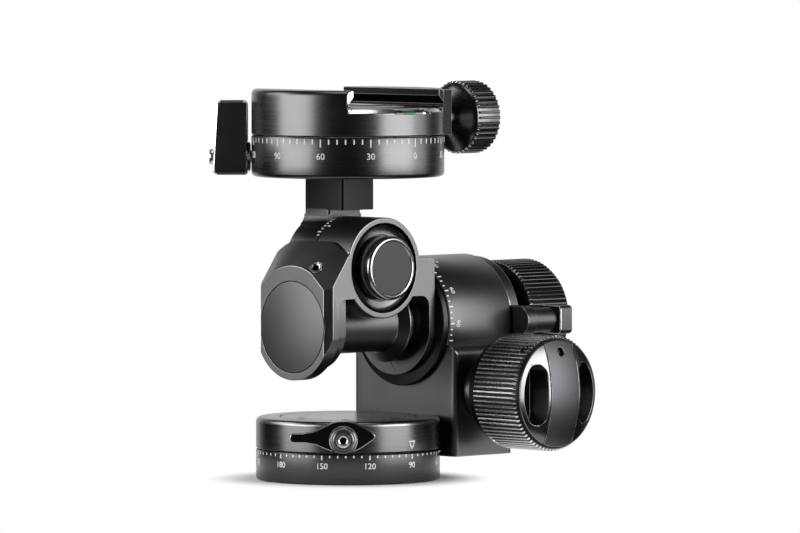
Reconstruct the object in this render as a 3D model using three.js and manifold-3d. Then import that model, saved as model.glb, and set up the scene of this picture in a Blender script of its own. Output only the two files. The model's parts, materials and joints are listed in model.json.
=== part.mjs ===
// A two-axis geared tripod head, in millimetres, +Z up.
// The origin is the centre of the base's underside. The head rolls about an axis along Y
// and pitches about an axis along X.

import * as THREE from 'three';
import { mergeVertices } from 'three/addons/utils/BufferGeometryUtils.js';
import Module from 'manifold-3d';

const wasm = await Module();
wasm.setup();

// Clearances that the whole head shares
const seatGap = 0.3;
const runGap = 0.3;
const weldDistance = 0.0001;
const overrun = 1;
const edgeChamfer = 0.8;
const fineChamfer = 0.4;

// Panning base
const baseRadius = 30;
const baseSplitHeight = 10.1;
const baseHeight = 20.4;
const baseBoreRadius = 9;
const baseFootRecess = 0.6;
const bushRadius = 6.6;
const bushHeight = 11;
const socketRadius = 4.76;
const socketDepth = 9.5;
const spindleFlangeRadius = 13;
const spindleFlangeHeight = 3;
const spindleNeckRadius = 8.4;
const washerRadius = 26;
const washerThickness = 0.8;
const washerPlay = 0.05;
const nutRadius = 12;
const nutHeight = 6;
const topCoverRadius = 22;
const topCoverThickness = 1.2;

// Locking lever of the base
const baseLeverAngle = -46 * Math.PI / 180;
const baseLeverHeight = 14.9;
const baseLeverThickness = 4.6;
const baseLeverLongArm = 17;
const baseLeverShortArm = 10.6;
const baseLeverRise = 6.2;
const baseLeverDrop = 4;
const baseLeverHubRadius = 5.2;
const leverTipHeightShare = 1 / 6;
const leverTipRadiusShare = 1 / 4;
const leverCrownShare = 1 / 3;
const leverWasherThickness = 0.8;
const leverScrewRadius = 2.5;
const leverScrewHeight = 1.3;
const hexKeyRadius = 1.3;
const lockStudRadius = 2;
const lockShoeLength = 3;
const lockShoeRadius = 2.6;

// Bracket block and roll drum
const rollAxisHeight = 50.4;
const bracketHalfWidth = 24;
const bracketFront = 25.4;
const bracketBack = 52;
const bracketBottom = 7;
const bracketTopDrop = 10.9;
const bracketTop = rollAxisHeight - bracketTopDrop;
const drumRadius = 21.4;
const drumBack = 54;
const drumBoreRadius = 18;
const drumBeadHeight = 3.5;
const bracketCorner = 2;

// Roll shaft and worm gear
const rollShaftRadius = 9.4;
const rollShaftBore = 6;
const rollFlangeRadius = 21;
const rollBushLength = 5;
const rollRearCollarRadius = 12.4;
const rollRearCollarLength = 5.6;
const wormRadius = 4.9;
const wormRootRadius = 3.9;
const wormLength = 11;
const gearMesh = 0.7;
const toothDepth = 1;
const toothShare = 0.38;
const toothSlope = 0.2;
const wheelWidth = 6;
const rollTeeth = 45;
const pitchTeeth = 36;
const journalRadius = 3;

// Ribbed knobs of the two worms, with their domed caps
const rollKnobAxisY = 38.7;
const rollWormDrop = 21.7;
const rollKnobAxisHeight = rollAxisHeight - rollWormDrop;
const rollKnobFront = 37;
const rollKnobRibLength = 20.8;
const pitchKnobFront = 66;
const pitchKnobRibLength = 18.4;
const knobSkirtRadius = 17;
const knobSkirtLength = 3.2;
const knobRibRadius = 18.8;
const knobRibDepth = 0.7;
const knobRibCount = 36;
const knobRimLength = 1.2;
const knobCapRadius = 17.4;
const knobPlugRadius = 16.4;
const knobCapRise = 4;
const knobCapDepth = 9;
const knobCapFlange = 1.6;
const knobBarWidth = 12.4;
const knobBarDepth = 1.4;
const knobBarHoleRadius = 1.45;
const knobBarHoleOffset = 13.6;
const knobBarHoleDepth = 2.5;
const pocketInner = 7.2;
const pocketOuter = 15.7;
const pocketDepth = 5.5;
const pocketSlantShare = 1.2;
const pocketHeightShare = 0.88;
const wormBushRadius = 10;

// Lock collar behind the drum
const lockCollarRadius = 20.5;
const lockCollarLength = 4.8;
const lockRodRadius = 4.15;
const lockRodOffset = 24;
const lockRodEnd = 68.3;
const lockCapLength = 5.9;
const lockCapHalfHeight = 4.7;
const lockCapInner = 19.4;
const lockCapOuter = 29.5;
const lockCapCorner = 1.4;
const lockEarRadius = 4.8;

// Tilt housing, with heights of its outline above the roll axis
const pitchAxisRise = 18.9;
const pitchAxisHeight = rollAxisHeight + pitchAxisRise;
const housingHalfWidth = 17;
const housingFront = -25;
const housingBack = 22.9;
const frontBlockBack = -20.2;
const frontFlangeBack = -14.2;
const frontFlangeHalfWidth = 14;
const rearBlockFront = 20.5;
const rearShoulderFront = 16.2;
const housingFaceRadius = 19.8;
const housingRidgeRadius = 27.6;
const housingBottomBulge = 0.3;
const housingEdgeChamfer = 2.2;
const housingTop = 21.6;
const pocketTop = 9.2;
const waistRadius = 9.4;
const waistFlareRadius = 13;
const waistFlareLength = 3;
const webHalfWidth = 6.5;
const pitchDrumRadius = 16.4;
const drumChamferShare = 0.5;
const leftCheekRadius = 12.2;
const frontCoverRadius = 14.7;
const frontCoverThickness = 1.5;
const facetDistance = 31.3;
const facetDirectionShares = [0.46, -0.72, 0.52];
const facetDepth = 12;
const cornerScrewRadius = 2.1;
const cornerScrewLength = 3;
const cornerScrewSide = 9.5;
const cornerScrewRise = 19.5;
const cornerScrewY = -23.3;

// Yoke, pitch axle and pitch wheel
const yokeLeft = -13.1;
const postHalfDepth = 7.2;
const postRise = 29.4;
const postTop = pitchAxisHeight + postRise;
const postRight = 5;
const postNeckRight = -1.3;
const postShelfThickness = 10.9;
const postShelfHeight = postTop - postShelfThickness;
const yokePlateThickness = 7.5;
const yokeSkirtWall = 1.3;
const yokeSkirtCutShare = 0.36;
const axleRadius = 4.6;
const bossRadius = 10.4;
const bossProud = 4;
const bezelInnerRadius = 14.6;
const bezelRecess = 3.2;
const bearingCoverThickness = 1.2;
const axleNutRadius = 8.6;
const axleNutThickness = 2.4;

// Upper panning ring and dovetail clamp
const topRadius = 31.4;
const topRingHeight = 13.5;
const clampHeight = 15;
const topSplitHeight = postTop + topRingHeight;
const topHeight = topSplitHeight + clampHeight;
const topChamfer = 1.4;
const topFloorThickness = 3.6;
const topCavityFloor = postTop + topFloorThickness;
const topFlangeShare = 0.4;
const topNeckRadius = 11.6;
const topNeckSocket = 4;
const topRetainerShare = 0.3;
const topWasherInset = 3.4;
const topWasherRadius = topRadius - topWasherInset;
const topWasherBoreShare = 5 / 7;
const topCavityRim = 3;
const topWasherBore = topWasherRadius * topWasherBoreShare;
const topCavityRadius = topWasherBore - topCavityRim;
const topFlangeRadius = topCavityRadius - 2 * runGap;
const postScrewRadius = 2.5;
const postScrewHeadRadius = 4.4;
const postScrewHeadHeight = 2;
const postScrewKeyRadius = 2;
const postScrewLength = 10;
const channelDepth = 6;
const channelFloor = topHeight - channelDepth;
const fixedLipY = -19;
const jawLipY = 18;
const dovetailUndercut = 2.6;
const dovetailReliefHeight = 1.2;
const lipThickness = 2.2;
const padHalfLength = 14;
const padHalfWidth = 12;
const padHeight = 0.5;
const jawLeft = -21;
const jawRight = 24;
const jawLegHalfWidth = 9;
const jawLegClearance = 0.6;
const jawLegThickness = 6.5;
const jawLegDrop = 0.7;
const jawLegFront = topRadius + jawLegClearance;
const jawLegBack = jawLegFront + jawLegThickness;
const jawLegBottom = topSplitHeight - jawLegDrop;
const clampAxisRise = 4.7;
const clampAxisHeight = topSplitHeight + clampAxisRise;
const clampKnobRadius = 12;
const clampKnobRibDepth = 0.6;
const clampConeReach = 9.1;
const clampKnobLength = 11.4;
const clampKnobFront = jawLegBack + clampConeReach;
const clampKnobBack = clampKnobFront + clampKnobLength;
const clampRibCount = 24;
const clampCollarRadius = 5;
const clampCollarLength = 2.6;
const clampConeRadius = 10.8;
const clampScrewRadius = 2.6;
const clampScrewStart = 13;
const clampScrewGrip = 4;
const pinRadius = 1.6;
const pinOffset = 6;
const pinStart = 13;
const levelInset = 3.7;
const levelDepth = 1.9;
const levelOffset = topRadius - levelInset;
const levelHeight = channelFloor - levelDepth;
const levelRadius = 1.6;
const levelHalfLength = 6.8;
const levelWall = 0.7;

// Locking lever of the upper ring
const topLeverAngle = -135 * Math.PI / 180;
const topLeverClearance = 1.2;
const topLeverRiseShare = 7 / 15;
const topLeverHeight = postTop + topRingHeight * topLeverRiseShare;
const topLeverInner = topRadius + topLeverClearance;
const topLeverThickness = 11.2;
const topLeverCorner = 1.4;
const topLeverRise = 18.4;
const topLeverDrop = 5.8;
const topLeverHalfWidth = 5.2;
const topLeverTopHalfWidth = 4.2;
const topLeverHubRadius = 4.8;

// Counts of sides, for round pieces of different sizes
const largeSides = 32;
const mediumSides = 24;
const smallSides = 12;
const screwSides = 8;
const hexSides = 6;
const threadSteps = 10;

// Solids from three.js geometries, and their joins and cuts

function toSolid(geometry) {
  const bare = new THREE.BufferGeometry();
  bare.setAttribute('position', geometry.attributes.position.clone());
  if (geometry.index) bare.setIndex(geometry.index.clone());
  const merged = mergeVertices(bare, weldDistance);
  const corners = merged.index.array;
  const kept = [];
  for (let first = 0; first < corners.length; first += 3) {
    const [a, b, c] = [corners[first], corners[first + 1], corners[first + 2]];
    if (a !== b && b !== c && c !== a) kept.push(a, b, c);
  }
  if (signedVolume(merged.attributes.position, kept) < 0) kept.reverse();
  return new wasm.Manifold(new wasm.Mesh({
    numProp: 3,
    vertProperties: new Float32Array(merged.attributes.position.array),
    triVerts: new Uint32Array(kept),
  }));
}

function signedVolume(position, corners) {
  const [a, b, c] = [new THREE.Vector3(), new THREE.Vector3(), new THREE.Vector3()];
  let total = 0;
  for (let first = 0; first < corners.length; first += 3) {
    a.fromBufferAttribute(position, corners[first]);
    b.fromBufferAttribute(position, corners[first + 1]);
    c.fromBufferAttribute(position, corners[first + 2]);
    total += a.dot(b.cross(c));
  }
  return total;
}

function fromSolid(solid) {
  const mesh = solid.getMesh();
  const geometry = new THREE.BufferGeometry();
  geometry.setAttribute('position', new THREE.BufferAttribute(new Float32Array(mesh.vertProperties), 3));
  geometry.setIndex(new THREE.BufferAttribute(new Uint32Array(mesh.triVerts), 1));
  return geometry;
}

function join(...shapes) {
  return fromSolid(shapes.map(toSolid).reduce((whole, next) => whole.add(next)));
}

function cut(whole, ...tools) {
  return fromSolid(tools.map(toSolid).reduce((left, tool) => left.subtract(tool), toSolid(whole)));
}

function common(first, ...others) {
  return fromSolid(others.map(toSolid).reduce((left, other) => left.intersect(other), toSolid(first)));
}

// Shapes, all made along +Z and then laid along the axis that they need

// A profile of [radius, height] pairs turned about Z, from axis to axis or closed on itself
function turned(profile, sides = mediumSides) {
  const points = profile.map(([radius, height]) => new THREE.Vector2(radius, height));
  return new THREE.LatheGeometry(points, sides).rotateX(Math.PI / 2);
}

function disc(radius, low, high, sides = mediumSides, lowChamfer = 0, highChamfer = 0) {
  const profile = [[0, low], [radius - lowChamfer, low]];
  if (lowChamfer > 0) profile.push([radius, low + lowChamfer]);
  if (highChamfer > 0) profile.push([radius, high - highChamfer]);
  profile.push([radius - highChamfer, high], [0, high]);
  return turned(profile, sides);
}

function tube(radius, bore, low, high, sides = mediumSides, lowChamfer = 0, highChamfer = 0) {
  const profile = [[bore, low], [radius - lowChamfer, low]];
  if (lowChamfer > 0) profile.push([radius, low + lowChamfer]);
  if (highChamfer > 0) profile.push([radius, high - highChamfer]);
  profile.push([radius - highChamfer, high], [bore, high], [bore, low]);
  return turned(profile, sides);
}

function prism(outline, low, high) {
  const shape = new THREE.Shape(outline.map(([x, y]) => new THREE.Vector2(x, y)));
  const settings = { depth: high - low, bevelEnabled: false, steps: 1 };
  return new THREE.ExtrudeGeometry(shape, settings).translate(0, 0, low);
}

// Lays a shape's +Z along +X, its +X along +Y and its +Y along +Z
function alongX(geometry) {
  const turn = new THREE.Matrix4().makeBasis(
    new THREE.Vector3(0, 1, 0),
    new THREE.Vector3(0, 0, 1),
    new THREE.Vector3(1, 0, 0),
  );
  return geometry.applyMatrix4(turn);
}

// Lays a shape's +Z along +Y and keeps its +X
function alongY(geometry) {
  return geometry.rotateX(-Math.PI / 2);
}

// A prism along Y whose outline is given as [x, z] pairs
function prismY(outline, low, high) {
  return alongY(prism(outline.map(([x, z]) => [x, -z]), low, high));
}

function block(low, high) {
  const size = high.map((value, axis) => value - low[axis]);
  const middle = high.map((value, axis) => (value + low[axis]) / 2);
  return new THREE.BoxGeometry(...size).translate(...middle);
}

// Lays a shape's +Z outwards along a direction in the level plane, its +X level and its +Y up
function outwards(geometry, angle) {
  const turn = new THREE.Matrix4().makeBasis(
    new THREE.Vector3(-Math.sin(angle), Math.cos(angle), 0),
    new THREE.Vector3(0, 0, 1),
    new THREE.Vector3(Math.cos(angle), Math.sin(angle), 0),
  );
  return geometry.applyMatrix4(turn);
}

function arc(centreX, centreY, radius, start, end, steps) {
  return Array.from({ length: steps + 1 }, (_, step) => {
    const angle = start + (end - start) * step / steps;
    return [centreX + radius * Math.cos(angle), centreY + radius * Math.sin(angle)];
  });
}

function roundedBox(halfWidth, halfHeight, corner, steps = 4) {
  const quarter = Math.PI / 2;
  const [x, y] = [halfWidth - corner, halfHeight - corner];
  return [
    ...arc(x, y, corner, 0, quarter, steps),
    ...arc(-x, y, corner, quarter, 2 * quarter, steps),
    ...arc(-x, -y, corner, 2 * quarter, 3 * quarter, steps),
    ...arc(x, -y, corner, 3 * quarter, 4 * quarter, steps),
  ];
}

// The outline of a ribbed or toothed piece, each tooth [base, crest, crest, base], the first at an angle
function toothed(root, crest, count, baseShare, crestShare, firstAngle = 0) {
  const step = Math.PI * 2 / count;
  const outline = [];
  for (let tooth = 0; tooth < count; tooth += 1) {
    const corners = [[root, -baseShare], [crest, -crestShare], [crest, crestShare], [root, baseShare]];
    for (const [radius, share] of corners) {
      const angle = firstAngle + step * (tooth + share / 2);
      outline.push([radius * Math.cos(angle), radius * Math.sin(angle)]);
    }
  }
  return outline;
}

// Worm gears: the thread is right-handed and a wheel's tooth stands in its groove at rest

function meshRadius(centreDistance) {
  return centreDistance - wormRadius + gearMesh / 2;
}

function threadPitch(centreDistance, teeth) {
  return 2 * Math.PI * meshRadius(centreDistance) / teeth;
}

function thread(pitch, facingAngle) {
  const turns = Math.floor(wormLength / pitch);
  const steps = turns * threadSteps;
  const baseHalf = (pitch * toothShare + toothSlope) / 2;
  const crestHalf = (pitch * toothShare - toothSlope) / 2;
  const section = [
    [wormRootRadius - seatGap, -baseHalf],
    [wormRadius, -crestHalf],
    [wormRadius, crestHalf],
    [wormRootRadius - seatGap, baseHalf],
  ];
  const positions = [];
  const corners = [];
  for (let step = 0; step <= steps; step += 1) {
    const turn = step / threadSteps - turns / 2;
    const angle = facingAngle + turn * Math.PI * 2;
    for (const [radius, along] of section) {
      positions.push(radius * Math.cos(angle), radius * Math.sin(angle), pitch * (turn + 1 / 2) + along);
    }
  }
  for (let step = 0; step < steps; step += 1) {
    for (let side = 0; side < section.length; side += 1) {
      const next = (side + 1) % section.length;
      const [a, b] = [step * section.length + side, step * section.length + next];
      const [c, d] = [a + section.length, b + section.length];
      corners.push(a, b, d, a, d, c);
    }
  }
  const last = steps * section.length;
  corners.push(0, 2, 1, 0, 3, 2, last, last + 1, last + 2, last, last + 2, last + 3);
  const geometry = new THREE.BufferGeometry();
  geometry.setAttribute('position', new THREE.Float32BufferAttribute(positions, 3));
  geometry.setIndex(corners);
  return geometry;
}

// A worm wheel about Z, as wide on both sides of z = 0, with one tooth at facingAngle
function wormWheel(centreDistance, teeth, bore, facingAngle) {
  const crest = centreDistance - wormRadius + gearMesh;
  const slopeShare = toothSlope / threadPitch(centreDistance, teeth);
  const outline = toothed(
    crest - toothDepth, crest, teeth, toothShare + slopeShare, toothShare - slopeShare, facingAngle,
  );
  const rim = prism(outline, -wheelWidth / 2, wheelWidth / 2);
  const lead = threadPitch(centreDistance, teeth) / (2 * Math.PI * (wormRadius - gearMesh / 2));
  const position = rim.attributes.position;
  const point = new THREE.Vector3();
  const axis = new THREE.Vector3(0, 0, 1);
  for (let corner = 0; corner < position.count; corner += 1) {
    point.fromBufferAttribute(position, corner);
    point.applyAxisAngle(axis, point.z * lead / meshRadius(centreDistance));
    position.setXYZ(corner, point.x, point.y, point.z);
  }
  return cut(rim, disc(bore, -wheelWidth / 2 - overrun, wheelWidth / 2 + overrun));
}

// Materials

function finish(colour, roughness, metalness) {
  return () => new THREE.MeshStandardMaterial({ color: colour, roughness, metalness });
}

const blackAnodised = finish(0x17171a, 0.38, 0.6);
const greyAnodised = finish(0x55555a, 0.45, 0.6);
const darkKnob = finish(0x101012, 0.35, 0.6);
const steel = finish(0xb9bbbe, 0.25, 1);
const brass = finish(0xb08d4a, 0.35, 1);
const blackSteel = finish(0x1c1c1e, 0.4, 0.9);
const washerPlastic = finish(0xe6e2d8, 0.6, 0);
const levelGreen = finish(0x6fd36a, 0.1, 0);

const head = new THREE.Group();

function piece(group, name, geometry, material) {
  const mesh = new THREE.Mesh(geometry, material());
  mesh.name = name;
  group.add(mesh);
}

// Panning base: the ring on the tripod, its steel bush, the spindle that carries the head

const base = new THREE.Group();
head.add(base);

const lowerRingTop = baseSplitHeight - seatGap / 2;
const upperRingBottom = baseSplitHeight + seatGap / 2;
const washerSeat = lowerRingTop - washerThickness / 2;
const spindleTop = baseHeight - topCoverThickness - seatGap;
const spindleShoulder = spindleTop - nutHeight;

piece(base, 'base_ring', cut(
  disc(baseRadius, 0, lowerRingTop, largeSides, edgeChamfer, fineChamfer),
  disc(baseBoreRadius, -overrun, lowerRingTop + overrun),
  disc(spindleFlangeRadius + runGap, -overrun, spindleFlangeHeight + seatGap),
  disc(washerRadius + runGap, washerSeat, lowerRingTop + overrun),
), blackAnodised);

piece(base, 'pan_spindle', cut(
  join(
    disc(spindleFlangeRadius, baseFootRecess, spindleFlangeHeight),
    disc(spindleNeckRadius, baseFootRecess, spindleTop),
  ),
  disc(bushRadius + runGap, -overrun, bushHeight + seatGap),
), blackSteel);

piece(base, 'tripod_bush', cut(
  disc(bushRadius, baseFootRecess, bushHeight, mediumSides, fineChamfer),
  disc(socketRadius, -overrun, baseFootRecess + socketDepth, smallSides),
), steel);

piece(base, 'pan_nut', tube(
  nutRadius, spindleNeckRadius + runGap,
  spindleShoulder, spindleTop - fineChamfer, mediumSides, 0, fineChamfer,
), steel);

piece(base, 'pan_washer', tube(
  washerRadius, spindleFlangeRadius,
  washerSeat + washerPlay, upperRingBottom - washerPlay, mediumSides,
), washerPlastic);

// The turning frame: upper ring of the base, upright block and roll drum in one casting

const frame = new THREE.Group();
head.add(frame);

const rollAxis = new THREE.Group();
rollAxis.position.z = rollAxisHeight;
frame.add(rollAxis);

const nutPocketFloor = spindleShoulder - seatGap;
const coverLow = baseHeight - topCoverThickness;
const lockShoeInner = nutRadius + runGap;
const lockShoeOuter = lockShoeInner + lockShoeLength;
const baseLeverInner = baseRadius + leverWasherThickness + seatGap;
const wormSpace = wormRadius + runGap + runGap;
const wormSeatLength = 6;
const wormSeatX = -bracketHalfWidth + bracketCorner;
const rollWormPlace = [rollKnobAxisY, rollKnobAxisHeight];

// Lays a shape made about +Z onto the roll worm's axis
function onRollWorm(geometry) {
  return alongX(geometry).translate(0, ...rollWormPlace);
}

// Lays a shape made about +Z onto the axis of the base lever
function onBaseLever(geometry) {
  return outwards(geometry, baseLeverAngle).translate(0, 0, baseLeverHeight);
}

const shoulder = drumBeadHeight + fineChamfer;
const blockOutline = [
  [-bracketHalfWidth, bracketBottom],
  [bracketHalfWidth, bracketBottom],
  ...arc(bracketHalfWidth - shoulder, bracketTop, shoulder, 0, Math.PI / 2, 5),
  ...arc(shoulder - bracketHalfWidth, bracketTop, shoulder, Math.PI / 2, Math.PI, 5),
];
const footprint = roundedBox(bracketHalfWidth, (bracketBack - bracketFront) / 2, bracketCorner)
  .map(([x, y]) => [x, y + (bracketBack + bracketFront) / 2]);

const rollDrum = alongY(disc(drumRadius, bracketFront, drumBack, largeSides, fineChamfer, edgeChamfer))
  .translate(0, 0, rollAxisHeight);
const uprightBlock = common(
  prismY(blockOutline, bracketFront, bracketBack),
  prism(footprint, bracketBottom, rollAxisHeight),
);
const upperRing = disc(baseRadius, upperRingBottom, baseHeight, largeSides, fineChamfer, edgeChamfer);

piece(frame, 'bracket', cut(
  join(upperRing, uprightBlock, rollDrum),
  disc(baseRadius + runGap, 0, upperRingBottom, largeSides),
  disc(spindleNeckRadius + runGap, 0, baseHeight + overrun),
  disc(nutRadius + runGap, nutPocketFloor, baseHeight + overrun),
  disc(topCoverRadius + runGap, coverLow - seatGap, baseHeight + overrun),
  alongY(disc(drumBoreRadius, bracketFront - overrun, drumBack + overrun, mediumSides))
    .translate(0, 0, rollAxisHeight),
  onRollWorm(disc(wormSpace, wormSeatX, bracketHalfWidth + overrun, smallSides)),
  onBaseLever(disc(lockShoeRadius + runGap, nutRadius, lockShoeOuter + runGap, screwSides)),
  onBaseLever(disc(lockStudRadius + runGap, lockShoeInner, baseRadius + overrun, screwSides)),
), blackAnodised);

piece(frame, 'pan_top_cover', disc(
  topCoverRadius, coverLow, baseHeight, mediumSides, 0, fineChamfer,
), blackAnodised);

piece(frame, 'pan_lock_shoe', onBaseLever(
  disc(lockShoeRadius, lockShoeInner, lockShoeOuter, screwSides),
), brass);

// Bushes of the roll shaft and of its worm

const rollBushRadius = drumBoreRadius - runGap;
const rollBushBore = rollShaftRadius + runGap;
const frontBushStart = bracketFront + fineChamfer;
const rearBushEnd = drumBack - fineChamfer;
piece(rollAxis, 'roll_bush_front', alongY(
  tube(rollBushRadius, rollBushBore, frontBushStart, frontBushStart + rollBushLength),
), brass);
piece(rollAxis, 'roll_bush_rear', alongY(
  tube(rollBushRadius, rollBushBore, rearBushEnd - rollBushLength, rearBushEnd),
), brass);

const wormBore = journalRadius + runGap;
const wormPlug = wormSpace - runGap / 2;
const wormSeatEnd = wormSeatX + runGap + wormSeatLength;
const wormBushStart = wormLength / 2 + wormSeatLength - seatGap;
const wormNeckStart = bracketHalfWidth + seatGap;
const wormNeckEnd = rollKnobFront - knobSkirtLength - seatGap;
piece(frame, 'roll_worm_seat', onRollWorm(
  tube(wormPlug, wormBore, wormSeatX + runGap, wormSeatEnd, smallSides),
), brass);
piece(frame, 'roll_worm_bush', onRollWorm(cut(
  join(
    disc(wormPlug, wormBushStart, wormNeckEnd, smallSides),
    disc(wormBushRadius, wormNeckStart, wormNeckEnd, mediumSides, fineChamfer, edgeChamfer),
  ),
  disc(wormBore, 0, wormNeckEnd + overrun, smallSides),
)), blackSteel);

// Locking lever of the base, with its stud, washer and screw

const baseLever = new THREE.Group();
head.add(baseLever);

const baseLeverOuter = baseLeverInner + baseLeverThickness;
const baseScrewEnd = baseLeverOuter + leverScrewHeight;
const leverTipHeight = baseLeverRise * leverTipHeightShare;
const leverTipRadius = baseLeverDrop * leverTipRadiusShare;
const leverOutline = [
  ...arc(-baseLeverLongArm, leverTipHeight, leverTipRadius, Math.PI / 2, Math.PI * 3 / 2, 4),
  [-baseLeverLongArm / 2, -baseLeverDrop / 2],
  ...arc(0, 0, baseLeverDrop, Math.PI * 5 / 4, Math.PI * 7 / 4, 4),
  [baseLeverShortArm / 2, -baseLeverDrop / 2],
  ...arc(baseLeverShortArm - leverTipRadius, leverTipHeight, leverTipRadius, -Math.PI / 2, Math.PI / 2, 4),
  [baseLeverHubRadius * leverCrownShare, baseLeverRise],
  [-baseLeverHubRadius / 2, baseLeverRise],
];
const leverHole = disc(lockStudRadius + seatGap, 0, baseLeverOuter + overrun, screwSides);

piece(baseLever, 'pan_lever', onBaseLever(
  cut(prism(leverOutline, baseLeverInner, baseLeverOuter), leverHole),
), blackAnodised);
piece(baseLever, 'pan_lever_stud', onBaseLever(
  disc(lockStudRadius, lockShoeOuter + seatGap, baseLeverOuter, screwSides),
), steel);
piece(baseLever, 'pan_lever_washer', onBaseLever(tube(
  baseLeverHubRadius - fineChamfer, lockStudRadius + seatGap,
  baseRadius + seatGap / 2, baseRadius + leverWasherThickness + seatGap / 2, smallSides,
)), blackSteel);
piece(baseLever, 'pan_lever_screw', onBaseLever(cut(
  disc(leverScrewRadius, baseLeverOuter + seatGap / 2, baseScrewEnd, smallSides, 0, fineChamfer),
  disc(hexKeyRadius, baseLeverOuter + seatGap + fineChamfer, baseScrewEnd + overrun, hexSides),
)), steel);

// Tilt housing and what rolls with it. Its pieces are made about the roll axis as their Y axis.

const rollHead = new THREE.Group();
rollHead.position.z = rollAxisHeight;
head.add(rollHead);

const centreDistance = pitchAxisHeight - rollAxisHeight;
const rollCentreDistance = rollAxisHeight - rollKnobAxisHeight;
const yokeSplit = seatGap / 2;
const drumChamfer = edgeChamfer * drumChamferShare;
const yokeSpaceLeft = yokeLeft - runGap;
const yokeSpaceRadius = pitchDrumRadius + runGap;
const pitchWheelCrest = centreDistance - wormRadius + gearMesh;
const wheelSpaceRadius = pitchWheelCrest + runGap;
const wheelSpaceRight = wheelWidth / 2 + runGap;
const wormSpaceEnd = wormLength / 2 + runGap;

// Lays a shape made about +Z onto the pitch axis
function onPitchAxis(geometry) {
  return alongX(geometry).translate(0, 0, centreDistance);
}

// Lays a shape's +Z along a direction
function facing(geometry, direction) {
  const turn = new THREE.Quaternion().setFromUnitVectors(new THREE.Vector3(0, 0, 1), direction);
  return geometry.applyQuaternion(turn);
}

// The section of a housing block: flat sides, a round bottom about the roll axis and a flat top
function housingSection(halfWidth, top) {
  const radius = halfWidth + housingBottomBulge;
  const start = Math.acos(halfWidth / radius);
  return [
    ...arc(0, 0, radius, Math.PI + start, 2 * Math.PI - start, 20),
    [halfWidth, top],
    [-halfWidth, top],
  ];
}

const ridgeY = housingFront + housingRidgeRadius - housingFaceRadius;
const frontHull = alongY(turned([
  [0, housingFront],
  [housingFaceRadius, housingFront],
  [housingRidgeRadius, ridgeY],
  [housingRidgeRadius, 0],
  [0, 0],
], largeSides));
const planOutline = [
  [-housingHalfWidth, housingBack],
  [-housingHalfWidth, housingFront + housingEdgeChamfer],
  [housingEdgeChamfer - housingHalfWidth, housingFront],
  [housingHalfWidth - housingEdgeChamfer, housingFront],
  [housingHalfWidth, housingFront + housingEdgeChamfer],
  [housingHalfWidth, housingBack],
];
const plan = prism(planOutline, -housingRidgeRadius, housingRidgeRadius);
const facetDirections = [1, -1].map((side) => {
  const [across, along, up] = facetDirectionShares;
  return new THREE.Vector3(across * side, along, up).normalize();
});
const facetBlocks = facetDirections.map((direction) => (
  facing(prism(roundedBox(housingRidgeRadius, housingRidgeRadius, facetDepth), 0, facetDepth), direction)
    .translate(...direction.toArray().map((share) => share * facetDistance))
));

// Lays a shape made about +Z into the facet on the side of the pitch axis's cover
function onRightFacet(geometry) {
  return facing(geometry, facetDirections[0]).translate(cornerScrewSide, cornerScrewY, cornerScrewRise);
}

const frontParts = cut(common(
  join(
    prismY(housingSection(housingHalfWidth, housingRidgeRadius), housingFront, frontBlockBack),
    block(
      [-housingHalfWidth, frontBlockBack - seatGap, pocketTop],
      [housingHalfWidth, frontFlangeBack, housingRidgeRadius],
    ),
    prismY(
      housingSection(frontFlangeHalfWidth, pocketTop + seatGap), frontBlockBack - seatGap, frontFlangeBack,
    ),
  ),
  frontHull,
  plan,
), ...facetBlocks);

const waist = alongY(turned([
  [0, frontFlangeBack - seatGap],
  [waistFlareRadius, frontFlangeBack - seatGap],
  [(waistFlareRadius + waistRadius) / 2, frontFlangeBack + waistFlareLength / 3],
  [waistRadius, frontFlangeBack + waistFlareLength],
  [waistRadius, rearShoulderFront - waistFlareLength - fineChamfer],
  [(waistFlareRadius + waistRadius) / 2, rearShoulderFront - waistFlareLength / 2],
  [waistFlareRadius, rearShoulderFront - fineChamfer],
  [waistFlareRadius, rearShoulderFront + fineChamfer],
  [waistRadius, rearShoulderFront + waistFlareLength / 2],
  [waistRadius, rearBlockFront + seatGap],
  [0, rearBlockFront + seatGap],
], mediumSides));

const rearParts = join(
  prismY(housingSection(housingHalfWidth, housingTop), rearBlockFront, housingBack),
  block(
    [-housingHalfWidth, frontFlangeBack - seatGap, pocketTop],
    [housingHalfWidth, housingBack, housingTop],
  ),
  block([-webHalfWidth, frontFlangeBack - seatGap, 0], [webHalfWidth, rearBlockFront + seatGap, housingTop]),
);

piece(rollHead, 'tilt_housing', cut(
  join(
    frontParts,
    waist,
    rearParts,
    onPitchAxis(disc(pitchDrumRadius, yokeSplit, housingHalfWidth, largeSides, 0, drumChamfer)),
    onPitchAxis(disc(leftCheekRadius, -housingHalfWidth, yokeSplit, mediumSides)),
  ),
  onPitchAxis(disc(yokeSpaceRadius, yokeSpaceLeft, yokeSplit, largeSides)),
  onPitchAxis(disc(wheelSpaceRadius, 0, wheelSpaceRight, largeSides)),
  onPitchAxis(disc(axleRadius + runGap, -housingHalfWidth - overrun, housingHalfWidth + overrun, smallSides)),
  onPitchAxis(disc(bezelInnerRadius, housingHalfWidth - bezelRecess, housingHalfWidth + overrun, largeSides)),
  alongY(disc(wormSpace, housingFront - overrun, wormSpaceEnd, smallSides)),
  alongY(disc(rollShaftBore + runGap, wormSpaceEnd - seatGap, housingBack + overrun, smallSides)),
  alongY(disc(
    frontCoverRadius + runGap,
    housingFront - overrun, housingFront + frontCoverThickness + seatGap, largeSides,
  )),
  onRightFacet(disc(
    cornerScrewRadius + seatGap, -cornerScrewLength - seatGap, cornerScrewLength, smallSides,
  )),
), blackAnodised);

piece(rollHead, 'front_cover', alongY(
  disc(frontCoverRadius, housingFront, housingFront + frontCoverThickness, largeSides, fineChamfer),
), greyAnodised);

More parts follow.
